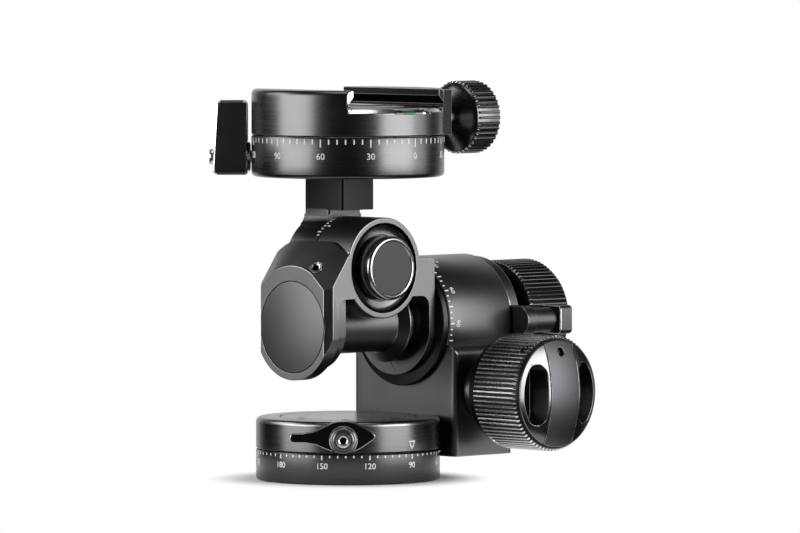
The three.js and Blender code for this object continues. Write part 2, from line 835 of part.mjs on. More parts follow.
piece(rollHead, 'housing_screw', onRightFacet(cut(
  disc(cornerScrewRadius, -cornerScrewLength, fineChamfer, smallSides, 0, fineChamfer / 2),
  disc(hexKeyRadius, -edgeChamfer, overrun, hexSides),
)), steel);

piece(rollHead, 'pitch_bearing_cover', onPitchAxis(tube(
  bezelInnerRadius - seatGap, bossRadius + runGap + seatGap,
  housingHalfWidth - bezelRecess + seatGap / 2,
  housingHalfWidth - bezelRecess + bearingCoverThickness, largeSides,
)), darkKnob);

const flangeStart = housingBack + seatGap;
const flangeEnd = bracketFront - runGap;
const lockCollarStart = drumBack + runGap;
const lockCollarEnd = lockCollarStart + lockCollarLength;
const rearCollarStart = lockCollarEnd + runGap;
const rollShaftEnd = rearCollarStart + rollRearCollarLength;
piece(rollHead, 'roll_shaft', alongY(turned([
  [rollShaftBore, flangeStart],
  [rollFlangeRadius - fineChamfer, flangeStart],
  [rollFlangeRadius, flangeStart + fineChamfer],
  [rollFlangeRadius, flangeEnd],
  [rollShaftRadius, flangeEnd],
  [rollShaftRadius, rollShaftEnd],
  [rollShaftBore, rollShaftEnd],
  [rollShaftBore, flangeStart],
], largeSides)), blackAnodised);

piece(rollHead, 'roll_wheel', alongY(
  wormWheel(rollCentreDistance, rollTeeth, rollShaftRadius + seatGap, Math.PI / 2),
).translate(0, rollKnobAxisY, 0), brass);

piece(rollHead, 'roll_rear_collar', alongY(tube(
  rollRearCollarRadius, rollShaftRadius + seatGap, rearCollarStart, rollShaftEnd, mediumSides, 0, fineChamfer,
)), blackAnodised);

const wormBushLength = 5;
piece(rollHead, 'pitch_worm_bush', alongY(tube(
  wormSpace - runGap / 2, wormBore,
  -wormSpaceEnd - runGap - wormBushLength, -wormSpaceEnd - runGap, smallSides,
)), brass);
piece(rollHead, 'pitch_shaft_bush', alongY(tube(
  rollShaftBore - seatGap / 2, wormBore, rollShaftEnd - wormBushLength, rollShaftEnd, smallSides,
)), brass);

// Worms, each one piece with its shaft, and the ribbed knobs on their ends

// The pieces of one knob, made about +Z with the ribs starting at z = 0, laid by a function
function ribbedKnob(knobGroup, capGroup, name, ribLength, skirtLength, lay) {
  const capFloor = ribLength - knobCapDepth;
  const ribs = toothed(knobRibRadius - knobRibDepth, knobRibRadius, knobRibCount, 1 - toothShare, toothShare);

  piece(knobGroup, name, lay(cut(
    join(
      prism(ribs, 0, ribLength - knobRimLength),
      disc(knobRibRadius - knobRibDepth, -seatGap, ribLength, largeSides, 0, edgeChamfer),
      disc(knobSkirtRadius, -skirtLength, 0, mediumSides, fineChamfer),
    ),
    disc(knobPlugRadius + runGap, capFloor, ribLength + overrun),
    disc(knobCapRadius + runGap, ribLength - knobCapFlange - runGap, ribLength + overrun, largeSides),
    disc(journalRadius + seatGap, -skirtLength - overrun, capFloor + overrun, screwSides),
  )), darkKnob);
  const capBottom = capFloor + runGap;
  const domeRadius = (knobCapRadius ** 2 + knobCapRise ** 2) / (2 * knobCapRise);
  const domeCentre = ribLength + knobCapRise - domeRadius;
  const domeAngle = Math.asin(knobCapRadius / domeRadius);
  const dome = turned([
    [0, capBottom],
    [knobPlugRadius, capBottom],
    [knobPlugRadius, ribLength - knobCapFlange],
    [knobCapRadius, ribLength - knobCapFlange],
    ...arc(0, domeCentre, domeRadius, Math.PI / 2 - domeAngle, Math.PI / 2, 4).slice(0, -1),
    [0, ribLength + knobCapRise],
  ], largeSides);
  const barFloor = ribLength - knobBarDepth;
  const slotHalf = knobBarWidth / 2 + seatGap / 2;
  const slot = (halfWidth, floor) => block(
    [-halfWidth, -knobRibRadius, floor],
    [halfWidth, knobRibRadius, ribLength + knobCapRise + overrun],
  );
  const pocketFloor = ribLength - pocketDepth;
  const pocketEnd = Math.PI / 4;
  const slantEnd = pocketInner * pocketSlantShare;
  const slantHeight = pocketOuter * Math.sin(pocketEnd) * pocketHeightShare;
  const wallHeight = pocketOuter / 2 * pocketHeightShare;
  const pocketOutline = [
    ...arc(0, 0, pocketOuter, -pocketEnd, pocketEnd, 6),
    [slantEnd, slantHeight],
    [pocketInner, wallHeight],
    [pocketInner, -wallHeight],
    [slantEnd, -slantHeight],
  ];
  const pocket = (angle) => (
    prism(pocketOutline, pocketFloor, ribLength + knobCapRise + overrun).rotateZ(angle)
  );
  piece(capGroup, `${name}_cap`, lay(cut(
    dome,
    slot(slotHalf, barFloor),
    pocket(0),
    pocket(Math.PI),
  )), blackAnodised);
  piece(capGroup, `${name}_bar`, lay(cut(
    common(
      turned([
        [0, barFloor + seatGap / 2],
        [knobCapRadius, barFloor + seatGap / 2],
        ...arc(0, domeCentre, domeRadius, Math.PI / 2 - domeAngle, Math.PI / 2, 4).slice(0, -1),
        [0, ribLength + knobCapRise],
      ], largeSides),
      slot(knobBarWidth / 2, barFloor),
    ),
    disc(
      knobBarHoleRadius,
      ribLength + knobCapRise - knobBarHoleDepth, ribLength + 2 * knobCapRise, screwSides,
    ).translate(0, knobBarHoleOffset, 0),
  )), blackAnodised);
}

function wormShaft(pitch, facingAngle, low, high) {
  const threadHalf = wormLength / 2;
  return join(
    thread(pitch, facingAngle),
    disc(wormRootRadius, -threadHalf, threadHalf, threadSteps),
    disc(journalRadius, low, high, smallSides),
  );
}

const rollWormGroup = new THREE.Group();
const rollCapGroup = new THREE.Group();
head.add(rollWormGroup, rollCapGroup);
const rollWormEnd = rollKnobFront + rollKnobRibLength - knobCapDepth - seatGap;
piece(rollWormGroup, 'roll_worm', onRollWorm(wormShaft(
  threadPitch(rollCentreDistance, rollTeeth), Math.PI / 2, wormSeatX + seatGap + runGap, rollWormEnd,
)), steel);
ribbedKnob(rollWormGroup, rollCapGroup, 'roll_knob', rollKnobRibLength, knobSkirtLength, (geometry) => (
  onRollWorm(geometry.translate(0, 0, rollKnobFront))
));

const pitchWormGroup = new THREE.Group();
const pitchCapGroup = new THREE.Group();
rollHead.add(pitchWormGroup, pitchCapGroup);
const pitchWormEnd = pitchKnobFront + pitchKnobRibLength - knobCapDepth - seatGap;
const pitchWormStart = -wormSpaceEnd - 2 * runGap - wormBushLength;
piece(pitchWormGroup, 'pitch_worm', alongY(wormShaft(
  threadPitch(centreDistance, pitchTeeth), -Math.PI / 2, pitchWormStart, pitchWormEnd,
)), steel);
const pitchSkirtLength = pitchKnobFront - rollShaftEnd - runGap;
ribbedKnob(pitchWormGroup, pitchCapGroup, 'pitch_knob', pitchKnobRibLength, pitchSkirtLength, (geometry) => (
  alongY(geometry.translate(0, 0, pitchKnobFront))
));

// Lock collar behind the drum, with its rod and square cap

const lockLever = new THREE.Group();
lockLever.position.z = rollAxisHeight;
head.add(lockLever);

const lockRodStart = lockCollarEnd - lockCollarLength / 2;
const lockEar = [
  ...arc(lockRodOffset, 0, lockEarRadius, -Math.PI / 2, Math.PI / 2, 8),
  [lockCollarRadius - lockEarRadius, lockEarRadius],
  [lockCollarRadius - lockEarRadius, -lockEarRadius],
];
piece(lockLever, 'lock_collar', cut(
  join(
    alongY(tube(
      lockCollarRadius, rollShaftRadius + runGap, lockCollarStart, lockCollarEnd, largeSides,
      fineChamfer, edgeChamfer,
    )),
    prismY(lockEar, lockCollarStart, lockCollarEnd),
  ),
  alongY(disc(lockRodRadius + seatGap, lockRodStart - seatGap, lockCollarEnd + overrun, smallSides))
    .translate(lockRodOffset, 0, 0),
), blackAnodised);
piece(lockLever, 'lock_rod', alongY(disc(lockRodRadius, lockRodStart, lockRodEnd, smallSides))
  .translate(lockRodOffset, 0, 0), blackAnodised);
piece(lockLever, 'lock_rod_cap', prismY(
  roundedBox((lockCapOuter - lockCapInner) / 2, lockCapHalfHeight, lockCapCorner)
    .map(([x, z]) => [x + (lockCapOuter + lockCapInner) / 2, z]),
  lockRodEnd + seatGap, lockRodEnd + lockCapLength,
), blackAnodised);

// What pitches: the yoke with its drum, post and shelf, the axle and the wheel. Made about the pitch axis.

const pitchHead = new THREE.Group();
pitchHead.position.z = pitchAxisHeight;
head.add(pitchHead);

const plateRight = yokeLeft + yokePlateThickness;
const skirtCut = pitchDrumRadius * yokeSkirtCutShare;
const postFoot = pitchDrumRadius - yokeSkirtWall;
const shelfLow = postShelfHeight - pitchAxisHeight;
const postHigh = postTop - seatGap - pitchAxisHeight;
const postMiddle = (yokeLeft + postRight) / 2;

function postOutline(left, right) {
  const middle = (left + right) / 2;
  const half = (right - left) / 2;
  return [
    [middle - half, -postHalfDepth + edgeChamfer], [middle - half + edgeChamfer, -postHalfDepth],
    [middle + half - edgeChamfer, -postHalfDepth], [middle + half, -postHalfDepth + edgeChamfer],
    [middle + half, postHalfDepth - edgeChamfer], [middle + half - edgeChamfer, postHalfDepth],
    [middle - half + edgeChamfer, postHalfDepth], [middle - half, postHalfDepth - edgeChamfer],
  ];
}

piece(pitchHead, 'yoke', cut(
  join(
    alongX(disc(pitchDrumRadius, yokeLeft, -yokeSplit, largeSides, edgeChamfer, 0)),
    prism(postOutline(yokeLeft, postNeckRight), postFoot - edgeChamfer, shelfLow + seatGap),
    prism(postOutline(yokeLeft, postRight), shelfLow, postHigh),
  ),
  alongX(disc(postFoot, plateRight, postRight + overrun, largeSides)),
  block([plateRight, -pitchDrumRadius, -pitchDrumRadius - overrun], [overrun, pitchDrumRadius, -skirtCut]),
  alongX(disc(axleRadius + seatGap, yokeLeft - overrun, postRight, smallSides)),
  disc(postScrewRadius + seatGap, postHigh - postScrewLength, postHigh + overrun, smallSides)
    .translate(postMiddle, 0, 0),
), blackAnodised);

const bossLow = housingHalfWidth - bezelRecess + seatGap;
const bossHigh = housingHalfWidth + bossProud;
const axleEnd = bossHigh - bossProud;
const nutLow = housingHalfWidth + seatGap;
piece(pitchHead, 'pitch_axle', alongX(
  disc(axleRadius, -nutLow - axleNutThickness, axleEnd, smallSides),
), steel);
piece(pitchHead, 'pitch_wheel', alongX(
  wormWheel(centreDistance, pitchTeeth, axleRadius + seatGap, -Math.PI / 2),
), brass);
piece(pitchHead, 'pitch_boss', alongX(cut(
  disc(bossRadius, bossLow, bossHigh, mediumSides, 0, edgeChamfer),
  disc(axleRadius + seatGap, 0, axleEnd + seatGap, smallSides),
)), greyAnodised);
piece(pitchHead, 'pitch_axle_nut', alongX(tube(
  axleNutRadius, axleRadius + seatGap, -nutLow - axleNutThickness, -nutLow, mediumSides, fineChamfer,
)), blackAnodised);

// Upper panning ring on the post, with its spindle, retainer and lock

const topRingTop = topSplitHeight - seatGap / 2;
const clampBottom = topSplitHeight + seatGap / 2;
const topWasherSeat = topRingTop - washerThickness / 2;
const flangeLow = topCavityFloor + seatGap;
const cavityHeight = topRingTop - topCavityFloor;
const flangeHigh = flangeLow + cavityHeight * topFlangeShare;
const retainerLow = flangeHigh + runGap;
const topShoeInner = topFlangeRadius + runGap;
const topShoeOuter = topShoeInner + lockShoeLength;
const topStudSpace = lockStudRadius + runGap;
const topRing = new THREE.Group();
head.add(topRing);

// Lays a shape made about +Z onto the axis of the upper lever
function onTopLever(geometry) {
  return outwards(geometry, topLeverAngle).translate(0, 0, topLeverHeight);
}

piece(topRing, 'top_ring', cut(
  disc(topRadius, postTop, topRingTop, largeSides, topChamfer, fineChamfer),
  disc(topCavityRadius, topCavityFloor, topRingTop + overrun),
  tube(topWasherRadius + runGap, topWasherBore - runGap, topWasherSeat, topRingTop + overrun, largeSides),
  onTopLever(disc(lockShoeRadius + runGap, 0, topShoeOuter + runGap, screwSides)),
  onTopLever(disc(topStudSpace, 0, topRadius + overrun, screwSides)),
  disc(postScrewRadius + seatGap, postTop - overrun, topCavityFloor + overrun, smallSides)
    .translate(postMiddle, 0, 0),
  disc(
    postScrewHeadRadius + seatGap,
    topCavityFloor - postScrewHeadHeight - seatGap, topCavityFloor + overrun,
  ).translate(postMiddle, 0, 0),
), blackAnodised);

const screwHeadLow = topCavityFloor - postScrewHeadHeight;
const screwTip = pitchAxisHeight + postHigh - postScrewLength + seatGap;
piece(topRing, 'post_screw', cut(
  join(
    disc(postScrewHeadRadius, screwHeadLow, topCavityFloor - fineChamfer),
    disc(postScrewRadius, screwTip, screwHeadLow + fineChamfer, smallSides),
  ),
  disc(postScrewKeyRadius, screwHeadLow + edgeChamfer, topCavityFloor + overrun, screwSides),
).translate(postMiddle, 0, 0), blackSteel);

piece(topRing, 'top_retainer', tube(
  topCavityRadius - seatGap, topNeckRadius + runGap,
  retainerLow, retainerLow + cavityHeight * topRetainerShare,
), blackSteel);
piece(topRing, 'top_washer', tube(
  topWasherRadius, topWasherBore, topWasherSeat + washerPlay, clampBottom - washerPlay,
), washerPlastic);
piece(topRing, 'top_lock_shoe', onTopLever(
  disc(lockShoeRadius - seatGap, topShoeInner, topShoeOuter, screwSides),
), brass);

// Locking lever of the upper ring

const topLever = new THREE.Group();
head.add(topLever);
const topLeverOuter = topLeverInner + topLeverThickness;
const topScrewEnd = topLeverOuter + leverScrewHeight;
const paddleSide = topLeverTopHalfWidth - topLeverCorner;
const paddleTop = topLeverRise - topLeverCorner;
const paddleOutline = [
  [-topLeverHalfWidth + topLeverCorner, -topLeverDrop],
  [topLeverHalfWidth - topLeverCorner, -topLeverDrop],
  [topLeverHalfWidth, -topLeverDrop + topLeverCorner],
  [topLeverHalfWidth, topLeverCorner],
  ...arc(paddleSide, paddleTop, topLeverCorner, 0, Math.PI / 2, 3),
  ...arc(-paddleSide, paddleTop, topLeverCorner, Math.PI / 2, Math.PI, 3),
  [-topLeverHalfWidth, topLeverCorner],
  [-topLeverHalfWidth, -topLeverDrop + topLeverCorner],
];
piece(topLever, 'top_lever', onTopLever(cut(
  join(
    prism(paddleOutline, topLeverInner, topLeverOuter),
    disc(topLeverHubRadius, topRadius + seatGap, topLeverInner + seatGap, smallSides),
  ),
  disc(lockStudRadius + seatGap, 0, topLeverOuter + overrun, screwSides),
)), blackAnodised);
piece(topLever, 'top_lever_stud', onTopLever(
  disc(lockStudRadius, topShoeOuter + seatGap, topLeverOuter, screwSides),
), steel);
piece(topLever, 'top_lever_screw', onTopLever(cut(
  disc(leverScrewRadius, topLeverOuter + seatGap / 2, topScrewEnd, smallSides, 0, fineChamfer),
  disc(hexKeyRadius, topLeverOuter + seatGap + fineChamfer, topScrewEnd + overrun, hexSides),
)), steel);

// Dovetail clamp, which turns on the upper ring

const clamp = new THREE.Group();
const jaw = new THREE.Group();
const clampKnob = new THREE.Group();
head.add(clamp);
clamp.add(jaw);
jaw.add(clampKnob);

piece(clamp, 'top_spindle', join(
  disc(topFlangeRadius, flangeLow, flangeHigh),
  disc(topNeckRadius, flangeLow, clampBottom + topNeckSocket),
), steel);

const undercutLow = channelFloor + dovetailReliefHeight;
const lipLow = topHeight - lipThickness;
const channelOutline = [
  [fixedLipY, topHeight + overrun],
  [fixedLipY, lipLow],
  [fixedLipY - dovetailUndercut, undercutLow],
  [fixedLipY - dovetailUndercut, channelFloor],
  [topRadius + overrun, channelFloor],
  [topRadius + overrun, topHeight + overrun],
];
const levelSpace = levelRadius + levelWall + seatGap;
const levelEnd = levelHalfLength + levelWall + seatGap;
piece(clamp, 'clamp_body', cut(
  join(
    cut(
      disc(topRadius, clampBottom, topHeight, largeSides, fineChamfer, edgeChamfer),
      alongX(prism(channelOutline, -topRadius - overrun, topRadius + overrun)),
    ),
    block(
      [-padHalfLength, -padHalfWidth, channelFloor - seatGap],
      [padHalfLength, padHalfWidth, channelFloor + padHeight],
    ),
  ),
  disc(topNeckRadius + seatGap, 0, clampBottom + topNeckSocket + seatGap),
  alongY(disc(clampScrewRadius + runGap, clampScrewStart - seatGap, topRadius + overrun, screwSides))
    .translate(0, 0, clampAxisHeight),
  ...[-pinOffset, pinOffset].map((offset) => (
    alongY(disc(pinRadius + runGap, pinStart - seatGap, topRadius + overrun, screwSides))
      .translate(offset, 0, clampAxisHeight)
  )),
  block(
    [levelOffset - levelSpace, -levelEnd, levelHeight - levelSpace],
    [topRadius + overrun, levelEnd, channelFloor + overrun],
  ),
), blackAnodised);

const cradleBottom = levelHeight - levelRadius - levelWall;
const cradleTop = levelHeight + levelRadius / 3;
piece(clamp, 'level_cradle', cut(
  common(
    block(
      [levelOffset - levelRadius - levelWall, -levelEnd + seatGap, cradleBottom],
      [topRadius, levelEnd - seatGap, cradleTop],
    ),
    disc(topRadius - fineChamfer, cradleBottom - overrun, cradleTop + overrun, largeSides),
  ),
  alongY(disc(
    levelRadius + seatGap / 2,
    -levelHalfLength - seatGap / 2, levelHalfLength + seatGap / 2, smallSides,
  )).translate(levelOffset, 0, levelHeight),
), blackAnodised);
piece(clamp, 'level_vial', alongY(disc(levelRadius, -levelHalfLength, levelHalfLength, smallSides))
  .translate(levelOffset, 0, levelHeight), levelGreen);

// Sliding jaw with its guide pins, and the clamp knob on its screw

const jawFloor = channelFloor + runGap;
const jawOutline = [
  [jawLipY, topHeight],
  [jawLipY, lipLow],
  [jawLipY + dovetailUndercut, undercutLow],
  [jawLipY + dovetailUndercut, jawFloor],
  [topRadius, jawFloor],
  [topRadius, topHeight],
];
piece(jaw, 'clamp_jaw', cut(
  join(
    common(
      alongX(prism(jawOutline, jawLeft, jawRight)),
      disc(topRadius, jawFloor - overrun, topHeight, largeSides, 0, edgeChamfer),
    ),
    block(
      [-jawLegHalfWidth, jawLegFront - 2 * overrun, jawFloor],
      [jawLegHalfWidth, jawLegBack, topHeight - edgeChamfer],
    ),
    block(
      [-jawLegHalfWidth, jawLegFront, jawLegBottom],
      [jawLegHalfWidth, jawLegBack, jawFloor + overrun],
    ),
  ),
  alongY(disc(clampScrewRadius + runGap, 0, jawLegBack + overrun, screwSides))
    .translate(0, 0, clampAxisHeight),
  ...[-pinOffset, pinOffset].map((offset) => (
    alongY(disc(pinRadius + seatGap / 2, 0, jawLegBack + overrun, screwSides))
      .translate(offset, 0, clampAxisHeight)
  )),
), blackAnodised);
[-pinOffset, pinOffset].forEach((offset, index) => {
  const pin = alongY(disc(pinRadius, pinStart, jawLegBack, screwSides)).translate(offset, 0, clampAxisHeight);
  piece(jaw, `jaw_pin_${index + 1}`, pin, steel);
});

const collarStart = jawLegBack + runGap;
const collarMiddle = collarStart + clampCollarLength;
const collarEnd = collarMiddle + clampCollarLength;
const clampScrewEnd = clampKnobFront + clampScrewGrip;
const clampRibs = toothed(
  clampKnobRadius - clampKnobRibDepth, clampKnobRadius, clampRibCount, 1 - toothShare, toothShare,
);
const collarWaist = clampCollarRadius - fineChamfer;
piece(clampKnob, 'clamp_knob', alongY(cut(
  join(
    turned([
      [0, collarStart],
      [collarWaist, collarStart],
      [clampCollarRadius, (collarStart + collarMiddle) / 2],
      [collarWaist, collarMiddle],
      [clampCollarRadius, (collarMiddle + collarEnd) / 2],
      [clampCollarRadius, collarEnd],
      [clampConeRadius, clampKnobFront],
      [clampKnobRadius - clampKnobRibDepth, clampKnobFront + fineChamfer],
      [clampKnobRadius - clampKnobRibDepth, clampKnobBack - edgeChamfer],
      [clampConeRadius, clampKnobBack],
      [0, clampKnobBack],
    ], mediumSides),
    prism(clampRibs, clampKnobFront + edgeChamfer, clampKnobBack - edgeChamfer),
  ),
  disc(clampScrewRadius + seatGap, 0, clampScrewEnd + seatGap, screwSides),
)).translate(0, 0, clampAxisHeight), darkKnob);
piece(clampKnob, 'clamp_screw', alongY(disc(clampScrewRadius, clampScrewStart, clampScrewEnd, screwSides))
  .translate(0, 0, clampAxisHeight), steel);

export default head;
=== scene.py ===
# A geared tripod head, dressed for its photograph
# Lengths are millimetres in the CAD's frame, and made() turns them into metres

import json
import math

import bmesh
import bpy
from mathutils import Matrix, Vector


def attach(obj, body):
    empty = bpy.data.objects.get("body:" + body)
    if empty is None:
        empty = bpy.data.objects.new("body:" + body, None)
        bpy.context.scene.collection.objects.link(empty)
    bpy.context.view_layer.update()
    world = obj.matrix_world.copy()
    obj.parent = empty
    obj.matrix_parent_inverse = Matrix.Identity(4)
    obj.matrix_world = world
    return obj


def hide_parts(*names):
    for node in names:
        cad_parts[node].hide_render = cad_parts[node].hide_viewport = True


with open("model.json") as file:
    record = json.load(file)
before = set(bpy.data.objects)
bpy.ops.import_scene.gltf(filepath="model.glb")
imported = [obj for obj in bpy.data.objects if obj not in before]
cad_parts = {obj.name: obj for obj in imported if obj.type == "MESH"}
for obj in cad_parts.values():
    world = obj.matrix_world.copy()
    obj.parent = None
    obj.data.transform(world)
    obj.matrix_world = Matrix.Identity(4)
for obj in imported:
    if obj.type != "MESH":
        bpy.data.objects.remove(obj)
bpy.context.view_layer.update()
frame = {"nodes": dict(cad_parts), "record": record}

MM = 0.001
ROLL_AXIS = 50.4
PITCH_AXIS = 69.3
CLAMP_AXIS = 116.9
SHARP_ANGLE = 30

# How many sides a round shape gets
FINE = 192
MEDIUM = 96
SMALL = 48


# Places: each lays a shape's own Z along a direction of the frame

def laid(along, across, place=(0, 0, 0)):
    z = Vector(along).normalized()
    x = (Vector(across) - z * z.dot(Vector(across))).normalized()
    turn = Matrix((x, z.cross(x), z)).transposed().to_4x4()
    return Matrix.Translation(Vector(place)) @ turn


def moved(x=0, y=0, z=0):
    return Matrix.Translation((x, y, z))


UP = laid((0, 0, 1), (1, 0, 0))
ALONG_X = laid((1, 0, 0), (0, 1, 0))
ALONG_Y = laid((0, 1, 0), (1, 0, 0))
FACING_FRONT = laid((0, -1, 0), (1, 0, 0))
ON_ROLL = laid((0, 1, 0), (1, 0, 0), (0, 0, ROLL_AXIS))
ROLL_AXIS_ALONG_X = laid((1, 0, 0), (0, 1, 0), (0, 0, ROLL_AXIS))
DRUM_SCALE = laid((0, 1, 0), (0, 0, 1), (0, 0, ROLL_AXIS))
ON_PITCH = laid((1, 0, 0), (0, 1, 0), (0, 0, PITCH_AXIS))
YOKE_SCALE = laid((1, 0, 0), (0, 0, 1), (0, 0, PITCH_AXIS))
ON_CLAMP_SCREW = laid((0, 1, 0), (1, 0, 0), (0, 0, CLAMP_AXIS))
ON_ROLL_WORM = laid((1, 0, 0), (0, 1, 0), (0, 38.7, 28.7))
ON_LEVEL = laid((0, 1, 0), (1, 0, 0), (27.7, 0, 119.3))


def outwards(degrees, height):
    angle = math.radians(degrees)
    return laid((math.cos(angle), math.sin(angle), 0), (-math.sin(angle), math.cos(angle), 0), (0, 0, height))


ON_BASE_LEVER = outwards(-46, 14.9)
ON_TOP_LEVER = outwards(-135, 105)


# Shapes

def made(name, bm, place):
    bmesh.ops.recalc_face_normals(bm, faces=bm.faces)
    bm.transform(Matrix.Scale(MM, 4) @ place)
    mesh = bpy.data.meshes.new(name)
    bm.to_mesh(mesh)
    bm.free()
    piece = bpy.data.objects.new(name, mesh)
    bpy.context.scene.collection.objects.link(piece)
    return piece


def turned(name, profile, place=UP, sides=FINE, closed=False):
    """A profile of (radius, height) turned about Z, closed on itself or from axis to axis"""
    bm = bmesh.new()
    rings = []
    for radius, height in profile:
        if radius == 0:
            rings.append([bm.verts.new((0, 0, height))])
            continue
        steps = (2 * math.pi * side / sides for side in range(sides))
        rings.append([bm.verts.new((radius * math.cos(a), radius * math.sin(a), height)) for a in steps])
    pairs = list(zip(rings, rings[1:] + rings[:1]))
    for low, high in pairs if closed else pairs[:-1]:
        for side in range(sides):
            following = (side + 1) % sides
            corners = [low[side % len(low)], low[following % len(low)],
                       high[following % len(high)], high[side % len(high)]]
            distinct = list(dict.fromkeys(corners))
            if len(distinct) > 2:
                bm.faces.new(distinct)
    return made(name, bm, place)


def extruded(name, outline, low, high, place=UP):
    bm = bmesh.new()
    face = bm.faces.new([bm.verts.new((x, y, low)) for x, y in outline])
    lifted = bmesh.ops.extrude_face_region(bm, geom=[face])["geom"]
    corners = [part for part in lifted if isinstance(part, bmesh.types.BMVert)]
    bmesh.ops.translate(bm, vec=(0, 0, high - low), verts=corners)
    return made(name, bm, place)


def block(name, low, high, place=UP):
    outline = [(low[0], low[1]), (high[0], low[1]), (high[0], high[1]), (low[0], high[1])]
    return extruded(name, outline, low[2], high[2], place)


def cylinder(radius, low, high, place=UP, sides=MEDIUM):
    return turned("cylinder", [(0, low), (radius, low), (radius, high), (0, high)], place, sides)


def arc(x, y, radius, start, end, steps=16):
    angles = (math.radians(start + (end - start) * step / steps) for step in range(steps + 1))
    return [(x + radius * math.cos(a), y + radius * math.sin(a)) for a in angles]


def rounded(left, right, low, high, corner, steps=8):
    return (arc(right - corner, high - corner, corner, 0, 90, steps)
            + arc(left + corner, high - corner, corner, 90, 180, steps)
            + arc(left + corner, low + corner, corner, 180, 270, steps)
            + arc(right - corner, low + corner, corner, 270, 360, steps))


def evaluated(piece):
    graph = bpy.context.evaluated_depsgraph_get()
    return bpy.data.meshes.new_from_object(piece.evaluated_get(graph))


def combined(whole, others, operation):
    for other in others:
        step = whole.modifiers.new("Solid", "BOOLEAN")
        step.operation, step.solver, step.object = operation, "MANIFOLD", other
        mesh = evaluated(whole)
        whole.modifiers.clear()
        whole.data = mesh
        bpy.data.objects.remove(other)
    return whole


def cut(whole, *tools):
    return combined(whole, tools, "DIFFERENCE")


def joined(whole, *others):
    return combined(whole, others, "UNION")


def common(whole, *others):
    return combined(whole, others, "INTERSECT")


SAME_SPOT = 0.004
FLAT_ANGLE = 0.4


def bevelled(piece, width, angle=SHARP_ANGLE, segments=3):
    """Joins the faces that cuts left in one plane, and rounds the sharp edges in the second material, whose
    lighter colour paints their highlight
    """
    bm = bmesh.new()
    bm.from_mesh(piece.data)
    bmesh.ops.remove_doubles(bm, verts=bm.verts, dist=SAME_SPOT * MM)
    bmesh.ops.dissolve_limit(bm, angle_limit=math.radians(FLAT_ANGLE), verts=bm.verts, edges=bm.edges)
    bm.to_mesh(piece.data)
    bm.free()
    edge = piece.modifiers.new("Edge", "BEVEL")
    edge.width, edge.segments, edge.limit_method = width * MM, segments, "ANGLE"
    edge.angle_limit, edge.material, edge.harden_normals = math.radians(angle), 1, True
    edge.use_clamp_overlap = False
    return piece


def zoned(piece, number, inside):
    """Gives one of the piece's materials to the faces whose middle, in millimetres, the test takes"""
    for polygon in piece.data.polygons:
        if inside(*(polygon.center / MM)):
            polygon.material_index = number


def dressed(piece, body, finishes, slot, *nodes):
    """Smooths a piece, gives it its finishes and its body, and lets it stand for CAD nodes"""
    # Clearing the materials takes the zones off, so they are put back afterwards
    zones = [polygon.material_index for polygon in piece.data.polygons]
    piece.data.materials.clear()
    for finish in finishes:
        piece.data.materials.append(finish)
    piece.data.polygons.foreach_set("material_index", zones)
    piece.data.shade_smooth()
    piece.data.set_sharp_from_angle(angle=math.radians(SHARP_ANGLE))
    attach(piece, body)
    if nodes:
        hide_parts(*nodes)


# Materials

class Wire:
    """An output in a material, whose maths is written as Python"""

    def __init__(self, tree, socket=None):
        self.tree, self.socket = tree, socket

    def node(self, kind, settings, values, output=0):
        added = self.tree.nodes.new("ShaderNode" + kind)
        for name, value in settings.items():
            setattr(added, name, value)
        for name, value in values.items():
            if isinstance(value, Wire):
                self.tree.links.new(value.socket, added.inputs[name])
            else:
                added.inputs[name].default_value = value
        return Wire(self.tree, added.outputs[output])

    def maths(self, operation, first, second):
        return self.node("Math", {"operation": operation}, {0: first, 1: second})

    def __add__(self, other):
        return self.maths("ADD", self, other)

    def __sub__(self, other):
        return self.maths("SUBTRACT", self, other)

    def __rsub__(self, other):
        return self.maths("SUBTRACT", other, self)

    def __mul__(self, other):
        return self.maths("MULTIPLY", self, other)

    def __pow__(self, other):
        return self.maths("POWER", self, other)

    __radd__ = __add__
    __rmul__ = __mul__


def noise(start, place, scale, detail):
    return start.node("TexNoise", {}, {"Vector": place, "Scale": scale, "Detail": detail, "Roughness": 0.6})


def blended(start, factor, first, second):
    """Mixes two colours, which are the node's inputs 6 and 7 and come out of its output 2"""
    return start.node("Mix", {"data_type": "RGBA"}, {0: factor, 6: first, 7: second}, 2)


# Texture scales are per metre
CLOUD_SCALE = 70
GRAIN_SCALE = 2600
LATHE_SCALE = 3600
SPECK_SCALE = 5200
GRAIN_DEPTH = 0.03
DARK_SHARE = 0.82
LIGHT_SHARE = 1.2


def turning_lines(start, place, axis, centre):
    """Fine lines round an axis, as a lathe leaves them, from the distance along and from the axis"""
    apart = start.node("VectorMath", {"operation": "SUBTRACT"}, {0: place, 1: [c * MM for c in centre]})
    parts = [start.node("SeparateXYZ", {}, {0: apart}, part) for part in "XYZ"]
    along = parts.pop(axis)
    radius = (parts[0] * parts[0] + parts[1] * parts[1]) ** 0.5
    drift = parts[0] * 12 + parts[1] * 9
    lines = start.node("CombineXYZ", {}, {0: along * LATHE_SCALE, 1: radius * LATHE_SCALE, 2: drift})
    return noise(start, lines, 1, 2)


